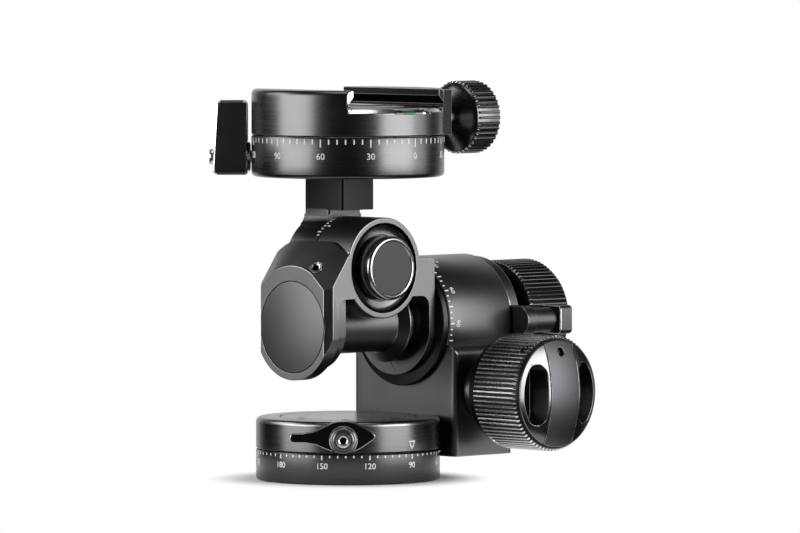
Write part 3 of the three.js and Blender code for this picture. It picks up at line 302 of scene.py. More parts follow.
def metal(name, colour, roughness, metallic=1.0, axis=None, centre=(0, 0, 0), depth=0.25, spread=0.16,
          coat=0.0):
    """A finish with its grain: lathe lines round an axis, or an even grain where it names none"""
    material = bpy.data.materials.new(name)
    material.use_nodes = True
    tree = material.node_tree
    shader = tree.nodes["Principled BSDF"]
    start = Wire(tree)
    place = start.node("TexCoord", {}, {}, "Object")
    if axis is None:
        grain = noise(start, place, GRAIN_SCALE, 2)
    else:
        grain = turning_lines(start, place, axis, centre)
    cloud = noise(start, place, CLOUD_SCALE, 3)
    speck = noise(start, place, SPECK_SCALE, 1)
    dark, light = [(*(c * share for c in colour), 1) for share in (DARK_SHARE, LIGHT_SHARE)]
    tone = cloud * 0.5 + grain * 0.5
    tree.links.new(blended(start, tone, dark, light).socket, shader.inputs["Base Color"])
    rough = roughness + (grain - 0.5) * spread + (cloud - 0.5) * 0.1
    tree.links.new(rough.socket, shader.inputs["Roughness"])
    height = grain * 0.7 + speck * 0.3
    bump = start.node("Bump", {}, {"Strength": depth, "Distance": GRAIN_DEPTH * MM, "Height": height})
    tree.links.new(bump.socket, shader.inputs["Normal"])
    shader.inputs["Metallic"].default_value = metallic
    shader.inputs["Coat Weight"].default_value = coat
    return material


# Lighter colour of the rounded edges: painted highlight, with some wear
EDGE_WEAR_AND_HIGHLIGHT = metal("edge_wear_and_highlight", (0.2, 0.2, 0.206), 0.3, depth=0.1)
# A brighter edge colour: painted highlight
EDGE_HIGHLIGHT = metal("edge_highlight", (0.34, 0.34, 0.346), 0.24, depth=0.05)
DEEP_BLACK = metal("deep_black", (0.012, 0.012, 0.012), 0.36, depth=0.1)
SATIN = metal("black_anodised", (0.068, 0.068, 0.072), 0.42, depth=0.2)
GLOSS_BLACK = metal("lever_black", (0.024, 0.024, 0.026), 0.3, depth=0.1)
RING_FACE = metal("ring_face", (0.14, 0.14, 0.144), 0.3, axis=0, centre=(0, 0, PITCH_AXIS), depth=0.3)
BLASTED = metal("grey_blasted", (0.104, 0.104, 0.108), 0.37, depth=0.3)
COVER = metal("cover_satin", (0.082, 0.082, 0.086), 0.46, depth=0.35)
PAN_TURNED = metal("pan_turned", (0.09, 0.09, 0.092), 0.29, axis=2, depth=0.3)
BASE_TURNED = metal("base_turned", (0.062, 0.062, 0.064), 0.27, axis=2, depth=0.3)
ROLL_TURNED = metal("roll_turned", (0.112, 0.112, 0.116), 0.36, axis=1, centre=(0, 0, ROLL_AXIS), depth=0.3)
DEEP_TURNED = metal("deep_turned", (0.024, 0.024, 0.026), 0.34, axis=1, centre=(0, 0, ROLL_AXIS), depth=0.3)
PITCH_TURNED = metal("pitch_turned", (0.056, 0.056, 0.058), 0.33, axis=0, centre=(0, 0, PITCH_AXIS),
                     depth=0.3)
PITCH_FACE = metal("pitch_face", (0.03, 0.03, 0.032), 0.36, axis=0, centre=(0, 0, PITCH_AXIS))
KNOB = metal("knob_black", (0.09, 0.09, 0.092), 0.24, depth=0.12)
CAP = metal("cap_black", (0.15, 0.15, 0.154), 0.2, depth=0.06)
# The roll knob's ribs take a much lighter copy of the dark rib colour: painted highlight
LIT_RIB = metal("rib_painted_highlight", (0.44, 0.44, 0.446), 0.25, depth=0.05)
FAINT_RIB = metal("faint_rib", (0.07, 0.07, 0.072), 0.25, depth=0.05)
# Near black for the knobs' bodies under the ribs, the screw sockets and the set screws: painted shade
SHADE_BLACK = metal("painted_shade_black", (0.012, 0.012, 0.012), 0.45, depth=0.15)
STEEL = metal("stainless", (0.736, 0.736, 0.752), 0.24, depth=0.1, spread=0.1)
DARK_STEEL = metal("dark_steel", (0.14, 0.14, 0.148), 0.3, depth=0.2)
BRASS = metal("brass", (0.60, 0.42, 0.16), 0.32, depth=0.2)
WASHER = metal("sliding_washer", (0.7, 0.69, 0.65), 0.6, 0.0, depth=0.3)
PAINT = metal("white_marks", (0.684, 0.684, 0.684), 0.6, 0.0, depth=0.2, spread=0.1)
LEVEL = metal("level_fluid", (0.012, 0.09, 0.022), 0.14, 0.0, depth=0.05, spread=0.05, coat=0.5)
BLACK_SET = (SATIN, EDGE_WEAR_AND_HIGHLIGHT)


# Marks: ticks, numbers and indexes, as thin plates of paint that follow a round face

PAINT_THICK = 0.05


def ring_band(bm, radius, angle, wide, low, high):
    """One plate on a cylinder about Z, from its middle angle, its width and its heights"""
    half = wide / radius / 2
    steps = 3
    corners = []
    for step in range(steps + 1):
        a = angle - half + 2 * half * step / steps
        for r in (radius, radius + PAINT_THICK):
            for z in (low, high):
                corners.append(bm.verts.new((r * math.cos(a), r * math.sin(a), z)))
    for step in range(steps):
        a, b = corners[step * 4:step * 4 + 4], corners[step * 4 + 4:step * 4 + 8]
        for one, two in ((0, 1), (1, 3), (3, 2), (2, 0)):
            bm.faces.new([a[one], a[two], b[two], b[one]])
    for end in (corners[:4], corners[-4:]):
        bm.faces.new([end[0], end[1], end[3], end[2]])


def ring_stroke(bm, radius, angle, low, high, wide):
    """One straight stroke on a cylinder about Z, between two points given as (round, up)"""
    along = (Vector(high) - Vector(low)).normalized() * wide / 2
    aside = Vector((-along.y, along.x))
    ends = (Vector(low) - aside, Vector(low) + aside, Vector(high) + aside, Vector(high) - aside)
    layers = [[bm.verts.new((r * math.cos(angle + s / radius), r * math.sin(angle + s / radius), z))
               for s, z in ends] for r in (radius, radius + PAINT_THICK)]
    bm.faces.new(layers[0])
    bm.faces.new(layers[1])
    for side in range(4):
        following = (side + 1) % 4
        bm.faces.new([layers[0][side], layers[0][following], layers[1][following], layers[1][side]])


def ring_text(bm, words, radius, angle, height, size):
    """Numbers laid round a cylinder about Z, with their feet towards low Z"""
    line = bpy.data.curves.new("number", "FONT")
    line.body, line.size, line.extrude = words, size, PAINT_THICK / 2
    line.align_x, line.align_y = "CENTER", "CENTER"
    carrier = bpy.data.objects.new("number", line)
    bpy.context.scene.collection.objects.link(carrier)
    bpy.context.view_layer.update()
    flat = evaluated(carrier)
    bpy.data.objects.remove(carrier)
    corners = []
    for vertex in flat.vertices:
        x, y, z = vertex.co
        a = angle + x / radius
        r = radius + z + PAINT_THICK / 2
        corners.append(bm.verts.new((r * math.cos(a), r * math.sin(a), height + y)))
    for polygon in flat.polygons:
        bm.faces.new([corners[index] for index in polygon.vertices])


def painted(piece, body):
    piece.data.materials.append(PAINT)
    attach(piece, body)


def tick_row(degrees, every, wide, edge, short, long):
    """A tick at each angle, from the scale's edge to the short or, at multiples of every, the long end"""
    return [(d, wide, *sorted((edge, short if d % every else long))) for d in degrees]


def scale_marks(name, radius, place, body, ticks, numbers=(), size=1):
    """ticks are (degrees, width, low, high) and numbers are (degrees, words, height)"""
    bm = bmesh.new()
    for degrees, wide, low, high in ticks:
        ring_band(bm, radius, math.radians(degrees), wide, low, high)
    for degrees, words, height in numbers:
        ring_text(bm, words, radius, math.radians(degrees), height, size)
    painted(made(name, bm, place), body)


# Panning base

BASE_RADIUS = 30
BASE_BORE = 13.6
BASE_HIGH = 9.95
CASTING_LOW = 10.25
CASTING_TOP = 20.4
COVER_BORE = 22.3
COVER_SEAT = 19.2
COVER_SCREWS = ((12.5, -13.2), (-3, -17.8), (17.6, 4))
INDEX_STROKES = (((-1.25, 13.7), (1.25, 13.7)), ((1.25, 13.8), (0, 11.4)), ((0, 11.4), (-1.25, 13.8)))
LEVER_BACK = 31.2
LEVER_FACE = 35.6
LEVER_RECESS = 35.1
WASHER_RADIUS = 4.2
WASHER_FACE = 35.75

base_ring = turned("base_ring_fine", [
    (BASE_BORE, 0), (BASE_RADIUS - 0.8, 0), (BASE_RADIUS - 0.25, 0.25), (BASE_RADIUS, 0.8),
    (BASE_RADIUS, BASE_HIGH - 0.35), (BASE_RADIUS - 0.25, BASE_HIGH), (BASE_BORE, BASE_HIGH),
], closed=True)
dressed(base_ring, "base", (BASE_TURNED, EDGE_WEAR_AND_HIGHLIGHT), "black_anodised", "base_ring")
scale_marks(
    "base_scale", BASE_RADIUS, UP, "base", tick_row(range(0, 360, 5), 30, 0.42, 9.5, 8.75, 8.1),
    [(90 - d, str(min(d, 360 - d)), 6.0) for d in range(0, 360, 30)], 2.7,
)

upper_ring = turned("base_upper_ring", [
    (COVER_BORE, CASTING_LOW), (29.7, CASTING_LOW), (BASE_RADIUS, 10.6), (BASE_RADIUS, 18.9), (29.9, 19.5),
    (29.5, 20.0), (29.0, 20.3), (28.4, CASTING_TOP), (COVER_BORE, CASTING_TOP),
], closed=True)
cut(upper_ring, cylinder(3.2, 20, 31, ON_BASE_LEVER, SMALL))
# The top chamfer takes the lighter edge colour: painted highlight
zoned(upper_ring, 1, lambda x, y, z: 19.0 < z < 19.9 and math.hypot(x, y) > 29)
dressed(upper_ring, "frame", (BASE_TURNED, EDGE_WEAR_AND_HIGHLIGHT), "black_anodised")
arrow = bmesh.new()
for first_spot, last_spot in INDEX_STROKES:
    ring_stroke(arrow, BASE_RADIUS, 0, first_spot, last_spot, 0.3)
painted(made("base_index", arrow, UP), "frame")

cover = turned("pan_cover_fine", [
    (0, COVER_SEAT), (21.9, COVER_SEAT), (21.9, 20.25), (21.7, CASTING_TOP), (0, CASTING_TOP),
])
cut(cover, *(cylinder(1.5, 19.6, 21, moved(x, y), SMALL) for x, y in COVER_SCREWS))
dressed(cover, "frame", (BASE_TURNED, EDGE_WEAR_AND_HIGHLIGHT), "black_anodised", "pan_top_cover")


def socket_screw(name, radius, low, high, place, body, key, crown, finish, *nodes):
    """A screw's head with a rounded rim, and a hexagon socket painted near black as shade"""
    head = turned(name, [
        (0, low), (radius, low), (radius, high - crown), (radius - crown * 0.45, high - crown * 0.12),
        (radius - crown, high), (key + 0.25, high), (key, high - 0.15), (0, high - 0.15),
    ], place, SMALL)
    cut(head, extruded("key", arc(0, 0, key * 0.98, 0, 300, 5), high - 1.1, high + 1, place))
    back = place.inverted()
    # The socket's faces take the near black: painted shade in the hole
    zoned(head, 2, lambda *spot: (back @ Vector(spot)).to_2d().length < key)
    dressed(head, body, (finish, EDGE_WEAR_AND_HIGHLIGHT, SHADE_BLACK), "steel", *nodes)


def lever_screw(node, seat, place, body):
    socket_screw(node + "_fine", 2.5, seat, seat + 1.15, place, body, 1.2, 0.5, STEEL, node)


for number, (x, y) in enumerate(COVER_SCREWS, 1):
    socket_screw(f"pan_cover_screw_{number}", 1.4, 19.62, 20.3, moved(x, y), "frame", 0.65, 0.15, DARK_STEEL)

LEVER_OUTLINE = [
    (10.0, 1.9), (9.2, 2.7), (6.4, 4.2), (3.6, 5.7), (1.6, 6.15), (0, 6.2), (-1.6, 6.15), (-3.6, 5.6),
    (-6.6, 4.1), (-9.5, 2.7), (-13, 2.15), *arc(-15.9, 0.62, 1.5, 90, 270, 12), (-12.4, -0.9), (-9, -1.5),
    (-6.4, -2.6), (-3.4, -3.7), (0, -4.0), (3.4, -3.7), (5.8, -2.5), (8.4, -0.7), (9.6, 0.1), (10.2, 0.9),
    (10.25, 1.4),
]
lever = cut(
    extruded("pan_lever_fine", LEVER_OUTLINE, LEVER_BACK, LEVER_FACE, ON_BASE_LEVER),
    cylinder(WASHER_RADIUS + 0.15, LEVER_RECESS, LEVER_FACE + 1.4, ON_BASE_LEVER, SMALL),
)
# The lever's rounded edges take the brighter edge colour: painted highlight
dressed(bevelled(lever, 0.3), "pan_lever", (GLOSS_BLACK, EDGE_HIGHLIGHT), "black_anodised", "pan_lever")
lever_washer = turned("pan_lever_ring", [
    (0, LEVER_RECESS), (WASHER_RADIUS, LEVER_RECESS), (WASHER_RADIUS, 35.5), (3.9, WASHER_FACE), (3.4, 35.55),
    (3.1, WASHER_FACE), (0, WASHER_FACE),
], ON_BASE_LEVER, MEDIUM)
dressed(lever_washer, "pan_lever", (DARK_STEEL, EDGE_WEAR_AND_HIGHLIGHT), "black_steel", "pan_lever_washer")
lever_screw("pan_lever_screw", WASHER_FACE, ON_BASE_LEVER, "pan_lever")


# Bracket: upright block and roll drum, with the opening of the roll worm

BLOCK_HALF = 24
BLOCK_TOP = 43.4
BLOCK_CORNER = 3.9
BLOCK_FRONT = 25.4
BLOCK_BACK = 52
DRUM_RADIUS = 21.4
DRUM_BORE = 18
DRUM_BACK = 54


def worm_opening():
    return cylinder(5.5, -22, 25, ON_ROLL_WORM)


corner_x, corner_z = BLOCK_HALF - BLOCK_CORNER, BLOCK_TOP - BLOCK_CORNER
bracket_block = common(
    extruded("bracket_block", [
        (-BLOCK_HALF, 7), (BLOCK_HALF, 7), *arc(corner_x, corner_z, BLOCK_CORNER, 0, 90, 10),
        *arc(-corner_x, corner_z, BLOCK_CORNER, 90, 180, 10),
    ], -BLOCK_BACK, -BLOCK_FRONT, FACING_FRONT),
    extruded("plan", rounded(-BLOCK_HALF, BLOCK_HALF, BLOCK_FRONT, BLOCK_BACK, 2, 10), 6, 46),
)
cut(
    bracket_block,
    cylinder(BASE_RADIUS + 0.3, 0, CASTING_LOW, UP, FINE),
    cylinder(COVER_BORE, 5, CASTING_TOP + 0.1, UP, FINE),
    cylinder(DRUM_BORE, 20, 60, ON_ROLL),
    worm_opening(),
)
dressed(bevelled(bracket_block, 0.3), "frame", BLACK_SET, "black_anodised", "bracket")

roll_drum = turned("roll_drum", [
    (DRUM_BORE, BLOCK_FRONT), (20.9, BLOCK_FRONT), (21.2, 25.5), (DRUM_RADIUS, 25.8), (DRUM_RADIUS, 53.2),
    (21.15, 53.75), (20.6, DRUM_BACK), (DRUM_BORE, DRUM_BACK),
], ON_ROLL, closed=True)
cut(roll_drum, worm_opening())
dressed(roll_drum, "frame", (ROLL_TURNED, EDGE_WEAR_AND_HIGHLIGHT), "black_anodised")
WHITE_SPOT = (23.7, 0.9, 31.5, 32.4)
scale_marks(
    "drum_scale", DRUM_RADIUS, DRUM_SCALE, "frame",
    tick_row(range(-105, 106, 5), 15, 0.4, 25.95, 26.9, 27.6) + [WHITE_SPOT],
    [(d, str(abs(d)), 29.3) for d in range(-90, 91, 30)], 2.4,
)
worm_collar = turned("roll_worm_collar", [
    (3.4, 24.3), (9.6, 24.3), (10, 24.7), (10, 32.9), (9.5, 33.5), (3.4, 33.5),
], ON_ROLL_WORM, MEDIUM, closed=True)
dressed(worm_collar, "frame", (DARK_STEEL, EDGE_WEAR_AND_HIGHLIGHT), "black_steel", "roll_worm_bush")


# Lock collar behind the drum, its rod and its square cap

ROD_X = 24
EAR_RADIUS = 4.78

collar = joined(
    turned("lock_collar_fine", [
        (9.8, 54.35), (20.2, 54.35), (20.5, 54.65), (20.5, 58.4), (19.9, 59.05), (9.8, 59.05),
    ], ON_ROLL, closed=True),
    extruded("ear", [
        *arc(ROD_X, 0, EAR_RADIUS, -90, 90, 24), (15, EAR_RADIUS), (15, -EAR_RADIUS),
    ], 54.4, 59.0, ON_ROLL),
)
dressed(bevelled(collar, 0.3), "lock_lever", BLACK_SET, "black_anodised", "lock_collar")
lock_rod = turned("lock_rod_fine", [
    (0, 58), (4.15, 58), (4.15, 67.9), (3.8, 68.3), (0, 68.3),
], moved(ROD_X) @ ON_ROLL, MEDIUM)
dressed(lock_rod, "lock_lever", BLACK_SET, "black_anodised", "lock_rod")
lock_cap = extruded("lock_rod_cap_fine", rounded(19.4, 29.5, -4.7, 4.7, 1.5), 68.5, 74.2, ON_ROLL)
# The cap's rounded edges take the brighter edge colour: painted highlight
dressed(bevelled(lock_cap, 0.45), "lock_lever", (SATIN, EDGE_HIGHLIGHT), "black_anodised", "lock_rod_cap")


# Worm knobs: fine ribs, a domed cap with two finger pockets and a raised bar

RIB_SHARE = 0.56
RIB_SUNK = 0.3
RIB_ROUND = 0.12
FOOT_SHARE = 0.7
BACK_SHARE = 0.85
FLAT_SHARE = 0.45
KNOB_RADIUS = 18.1
KNOB_CREST = 18.8
SHAFT_BORE = 3.2
RECESS_RADIUS = 16.6
RECESS_DEEP = 9
PLUG_RADIUS = 16.4
PLUG_DEEP = 8.7
FLANGE_DEEP = 1.6
POCKET_DEEP = 5.5
POCKET_INNER = 7.2
POCKET_OUTER = 15.8
POCKET_CORNER = 3.4
BAR_HALF = 6.2
BAR_LONG = 20
BAR_PLAY = 0.15
OVERRUN = 2
CAP_RISE = 4
CAP_RADIUS = 17.4
DOME = (CAP_RADIUS ** 2 + CAP_RISE ** 2) / (2 * CAP_RISE)


def ribbed(name, root, crest, count, profile, low, high, place, bead):
    """A turned knob and its ribs, each with two slanted ends of the height bead in the second material, which
    the knobs make bright steel as a painted highlight
    """
    body = turned(name, profile, place, FINE, closed=True)
    bm = bmesh.new()
    half = math.pi / count * RIB_SHARE
    for rib in range(count):
        middle = 2 * math.pi * rib / count
        rings = []
        for height, radius, width in ((low, root, FOOT_SHARE), (low + bead, crest, BACK_SHARE),
                                      (high - bead, crest, BACK_SHARE), (high, root, FOOT_SHARE)):
            spots = ((root - RIB_SUNK, 1), (radius - RIB_ROUND, width), (radius, FLAT_SHARE),
                     (radius, -FLAT_SHARE), (radius - RIB_ROUND, -width), (root - RIB_SUNK, -1))
            angles = ((r, middle + half * w) for r, w in spots)
            rings.append([bm.verts.new((r * math.cos(a), r * math.sin(a), height)) for r, a in angles])
        for lower, upper in zip(rings, rings[1:]):
            for side in range(len(lower)):
                following = (side + 1) % len(lower)
                face = bm.faces.new([lower[side], lower[following], upper[following], upper[side]])
                face.material_index = 0 if lower is rings[1] else 1
        bm.faces.new(rings[0])
        bm.faces.new(rings[-1])
    return body, made(name + "_ribs", bm, place)


def dome_profile(top, low):
    steep = math.degrees(math.asin(CAP_RADIUS / DOME))
    line = [(0, low), (CAP_RADIUS, low)] + arc(0, top - DOME, DOME, 90 - steep, 90, 18)
    return line[:-1] + [(0, top)]


def pocket_outline():
    x = POCKET_INNER + POCKET_CORNER
    y = math.sqrt((POCKET_OUTER - POCKET_CORNER) ** 2 - x ** 2)
    lean = math.degrees(math.atan2(y, x))
    upper = arc(x, y, POCKET_CORNER, lean, 180, 12)
    lower = [(px, -py) for px, py in reversed(upper)]
    return arc(0, 0, POCKET_OUTER, -lean, lean, 16) + upper[1:] + lower[:-1]


def bar_block(half, low, high, place):
    return block("bar", (-half, -BAR_LONG, low), (half, BAR_LONG, high), place)


def knob_grip(name, rib_length, skirt, place, drive, rib_colour_and_highlight):
    """The ribbed body with its recess for the cap's plug, and the small screw in its ribs"""
    recess_floor = rib_length - RECESS_DEEP
    body, ribs = ribbed(name + "_fine", KNOB_RADIUS, KNOB_CREST, 75, [
        (SHAFT_BORE, -skirt), (16.6, -skirt), (17, 0.35 - skirt), (17, -0.6), (17.9, 0), (KNOB_RADIUS, 0.2),
        (KNOB_RADIUS, rib_length - 1.0), (17.75, rib_length - 0.3), (17.55, rib_length - 0.3),
        (17.55, rib_length - 2.0), (RECESS_RADIUS, rib_length - 2.0), (RECESS_RADIUS, recess_floor),
        (SHAFT_BORE, recess_floor),
    ], 0.3, rib_length - 1.1, place, 0.7)
    # The body under the ribs and the set screw take the near black: painted shade between the ribs
    dressed(body, drive, (SHADE_BLACK, EDGE_WEAR_AND_HIGHLIGHT), "knob_black", name)
    # The ribs' slanted ends are bright steel: painted highlight
    dressed(ribs, drive, (rib_colour_and_highlight, STEEL), "knob_black")
    sideways = moved(z=rib_length - 3.8) @ Matrix.Rotation(math.radians(37), 4, "Z") @ ALONG_Y
    screw = turned(name + "_setscrew", [
        (0, 18.2), (1.35, 18.2), (1.35, 18.86), (0.9, 18.9), (0.7, 18.5), (0, 18.5),
    ], place @ sideways, SMALL)
    dressed(screw, drive, (SHADE_BLACK, EDGE_WEAR_AND_HIGHLIGHT), "knob_black")


def knob_cap(name, rib_length, place, release):
    """The dome with its plug, its two finger pockets and the slot of its bar"""
    top = rib_length + CAP_RISE
    flange = rib_length - FLANGE_DEEP
    cap = turned(name + "_cap_fine", dome_profile(top, flange), place)
    joined(cap, cylinder(PLUG_RADIUS, rib_length - PLUG_DEEP, flange + 0.2, place, FINE))
    for half_turn in (0, math.pi):
        pocket_place = place @ Matrix.Rotation(half_turn, 4, "Z")
        cut(cap, extruded("pocket", pocket_outline(), rib_length - POCKET_DEEP, top + OVERRUN, pocket_place))
    cut(cap, bar_block(BAR_HALF + BAR_PLAY, rib_length - 1.4, top + OVERRUN, place))
    dressed(bevelled(cap, 0.22, 40, 2), release, (CAP, EDGE_WEAR_AND_HIGHLIGHT), "black_anodised", name + "_cap")


def knob_bar(name, rib_length, place, release):
    top = rib_length + CAP_RISE
    bar = common(
        turned(name + "_bar_fine", dome_profile(top, rib_length - 1.25), place),
        bar_block(BAR_HALF, rib_length - 2, top + OVERRUN, place),
    )
    cut(bar, cylinder(1.45, rib_length - 0.6, top + OVERRUN, place @ moved(y=13.6), SMALL))
    dressed(bevelled(bar, 0.22, 28), release, (SATIN, EDGE_WEAR_AND_HIGHLIGHT), "black_anodised", name + "_bar")


def worm_knob(name, rib_length, skirt, place, drive, release, rib_colour_and_highlight):
    knob_grip(name, rib_length, skirt, place, drive, rib_colour_and_highlight)
    knob_cap(name, rib_length, place, release)
    knob_bar(name, rib_length, place, release)


# The roll knob's ribs take the much lighter rib colour: painted highlight
worm_knob("roll_knob", 20.8, 3.2, ON_ROLL_WORM @ moved(z=37), "roll_drive", "roll_release", LIT_RIB)
worm_knob("pitch_knob", 18.4, 0.7, ON_ROLL @ moved(z=66), "pitch_drive", "pitch_release", FAINT_RIB)


# Tilt housing. Its outlines and blocks are measured from the roll axis

HEAD_HALF = 17
HEAD_FRONT = -25
HEAD_TOP = 27.6
NECK_HALF = 14
CHEEK_LOW = 9.2
CHEEK_TOP = 21.6
CHEEK_FRONT = -14.6
CHEEK_BACK = 22.9
FACET_FAR = 31.3
FRONT_COVE = [(-20.5, 9.4), (-20.5, 5.2), *arc(-16.2, 5.2, 4, 180, 90, 12), (-16.2, 9.4)]
REAR_COVE = [*arc(16.9, 5.6, 3.6, 90, 0, 12), (21, 5.6), (21, 9.4), (16.9, 9.4)]


def facet(side):
    """The direction in which a corner facet looks"""
    return Vector((0.46 * side, -0.72, 0.52)).normalized()


def housing_section(half, high):
    """A round bottom under straight sides, drawn with its top towards minus y"""
    radius = half + 0.3
    steep = math.degrees(math.acos(half / radius))
    bottom = arc(0, 0, radius, 180 + steep, 360 - steep, 56)
    return [(x, -z) for x, z in bottom + [(half, high), (-half, high)]]


def along_roll(name, outline, low, high):
    return extruded(name, outline, low, high, ON_ROLL)


def roll_block(low, high):
    return block("block", low, high, moved(z=ROLL_AXIS))


housing = joined(
    along_roll("tilt_housing_fine", housing_section(HEAD_HALF, HEAD_TOP), HEAD_FRONT, -20.2),
    roll_block((-HEAD_HALF, -20.6, CHEEK_LOW), (HEAD_HALF, -14.2, HEAD_TOP)),
    along_roll("neck", housing_section(NECK_HALF, 9.6), -20.6, -14.2),
)
common(
    housing,
    turned("front_cone", [(0, -26), (18.8, -26), (29, -15.8), (29, 0), (0, 0)], ON_ROLL),
    extruded("plan", [(-20, 23), (-20, -19.8), (-13.8, -26), (13.8, -26), (20, -19.8), (20, 23)], 20, 90),
)
for side in (1, -1):
    facet_place = laid(facet(side), (0, 0, 1), facet(side) * FACET_FAR + Vector((0, 0, ROLL_AXIS)))
    cut(housing, block("facet", (-30, -30, 0), (30, 30, 14), facet_place))
waist = turned("waist", [
    (0, -14.6), (13, -14.6), (11.4, -13.7), (10.2, -12.6), (9.5, -11.2), (9.4, -10), (9.4, 12.4), (9.8, 13.4),
    (11.2, 14.4), (13, 15.8), (13, 16.6), (11.2, 17.1), (9.9, 17.9), (9.4, 19), (9.4, 20.8), (0, 20.8),
], ON_ROLL)
joined(
    housing, waist,
    along_roll("rear_slope", housing_section(HEAD_HALF, CHEEK_TOP), 20.5, CHEEK_BACK),
    roll_block((-HEAD_HALF, CHEEK_FRONT, CHEEK_LOW), (HEAD_HALF, CHEEK_BACK, CHEEK_TOP)),
    roll_block((-6.5, CHEEK_FRONT, 0), (6.5, 20.8, CHEEK_TOP)),
    extruded("cove", FRONT_COVE, 0.1 - HEAD_HALF, HEAD_HALF, ROLL_AXIS_ALONG_X),
    extruded("cove", REAR_COVE, 0.1 - HEAD_HALF, HEAD_HALF, ROLL_AXIS_ALONG_X),
)

# The pitch axis: the yoke's room, the ring round it, and the bores

YOKE_ROOM = 16.7
RING_FACE_X = 17
cut(housing, cylinder(YOKE_ROOM, -13.4, 0.15, ON_PITCH, FINE))
joined(
    housing,
    turned("ring", [
        (0, 0.15), (16.2, 0.15), (16.4, 0.35), (16.4, 16.7), (16.1, RING_FACE_X), (0, RING_FACE_X),
    ], ON_PITCH),
    cylinder(12.2, -17, -13.4, ON_PITCH, FINE),
)
cut(
    housing,
    cylinder(15, 0, 3.3, ON_PITCH),
    cylinder(4.9, -18, 18, ON_PITCH, SMALL),
    cylinder(14.6, 13.8, 18, ON_PITCH, FINE),
    cylinder(15, HEAD_FRONT - 1, -23.2, ON_ROLL, FINE),
    cylinder(5.5, -24, 5.8, ON_ROLL, SMALL),
    cylinder(6.3, 5.5, 24, ON_ROLL, SMALL),
)
FACET_SCREW = laid(facet(1), (0, 0, 1), (9.5, -23.3, 69.9))
cut(housing, cylinder(2.35, -3.2, 4, FACET_SCREW, SMALL))
socket_screw("housing_screw_fine", 2.1, -3, 0.3, FACET_SCREW, "roll_head", 1.15, 0.35, STEEL, "housing_screw")


def from_pitch_axis(y, z):
    return math.hypot(y, z - PITCH_AXIS)


# Zone 2 is the ring's face, and zone 3 the yoke's room and the waist, which take the darker satin black:
# painted shade inside the bore and under the head
zoned(housing, 2, lambda x, y, z: 15.9 < x < 16.95 and from_pitch_axis(y, z) < 16.5)
zoned(housing, 3, lambda x, y, z: x < 15.9 and from_pitch_axis(y, z) < 16.8 and z > 62)
zoned(housing, 3, lambda x, y, z: abs(x) < 13.2 and -14.3 < y < 20.5 and z < 62)
bevelled(housing, 0.16, 28)
dressed(housing, "roll_head", (BLASTED, EDGE_WEAR_AND_HIGHLIGHT, RING_FACE, SATIN), "black_anodised", "tilt_housing")

# What rolls with the housing: its covers, the shaft in the drum and the collar behind it

front_cover = turned("front_cover_fine", [
    (0, HEAD_FRONT), (14.5, HEAD_FRONT), (14.75, -24.9), (14.85, -24.6), (14.85, -23.5), (0, -23.5),
], ON_ROLL)
dressed(front_cover, "roll_head", (COVER, EDGE_WEAR_AND_HIGHLIGHT), "grey_anodised", "front_cover")
bearing_cover = turned("pitch_bearing_cover_fine", [
    (11.0, 14.1), (14.3, 14.1), (14.3, 15.4), (14.0, 15.7), (13.5, 15.3), (12.4, 14.9), (11.0, 14.9),
], ON_PITCH, closed=True)
dressed(bearing_cover, "roll_head", (KNOB, EDGE_HIGHLIGHT), "knob_black", "pitch_bearing_cover")
roll_shaft = turned("roll_shaft_fine", [
    (6, 23.2), (20.4, 23.2), (20.8, 23.35), (21, 23.7), (21, 25.1), (9.4, 25.1), (9.4, 65), (6, 65),
], ON_ROLL, closed=True)
dressed(roll_shaft, "roll_head", (DEEP_TURNED, EDGE_WEAR_AND_HIGHLIGHT), "black_anodised", "roll_shaft")
rear_collar = turned("roll_rear_collar_fine", [
    (9.7, 59.4), (12.1, 59.4), (12.4, 59.7), (12.4, 64.6), (12, 65), (9.7, 65),
], ON_ROLL, MEDIUM, closed=True)
dressed(rear_collar, "roll_head", (ROLL_TURNED, EDGE_WEAR_AND_HIGHLIGHT), "black_anodised", "roll_rear_collar")


# What pitches: the boss, the nut, the yoke with its drum and post

YOKE_RADIUS = 16.4
YOKE_LEFT = -13.1
POST_HALF = 7.2
POST_CORNER = 1

boss = turned("pitch_boss_fine", [
    (4.9, 14.2), (10.4, 14.2), (10.4, 20.0), (10.2, 20.55), (9.8, 20.9), (9.3, 21), (8.95, 20.85),
    (8.7, 20.5), (8.6, 20.5), (0, 20.5), (0, 17.4), (4.9, 17.4),
], ON_PITCH)
# The boss's rim takes the brighter edge colour: painted highlight
zoned(boss, 1, lambda x, y, z: x > 20.1 and from_pitch_axis(y, z) > 8.8)
zoned(boss, 2, lambda x, y, z: x < 20.1)
dressed(boss, "pitch_head", (PITCH_FACE, EDGE_HIGHLIGHT, KNOB), "grey_anodised", "pitch_boss")
axle_nut = turned("pitch_axle_nut_fine", [
    (4.9, -19.7), (8.2, -19.7), (8.6, -19.3), (8.6, -17.35), (4.9, -17.35),
], ON_PITCH, MEDIUM, closed=True)
dressed(axle_nut, "pitch_head", (PITCH_TURNED, EDGE_WEAR_AND_HIGHLIGHT), "black_anodised", "pitch_axle_nut")

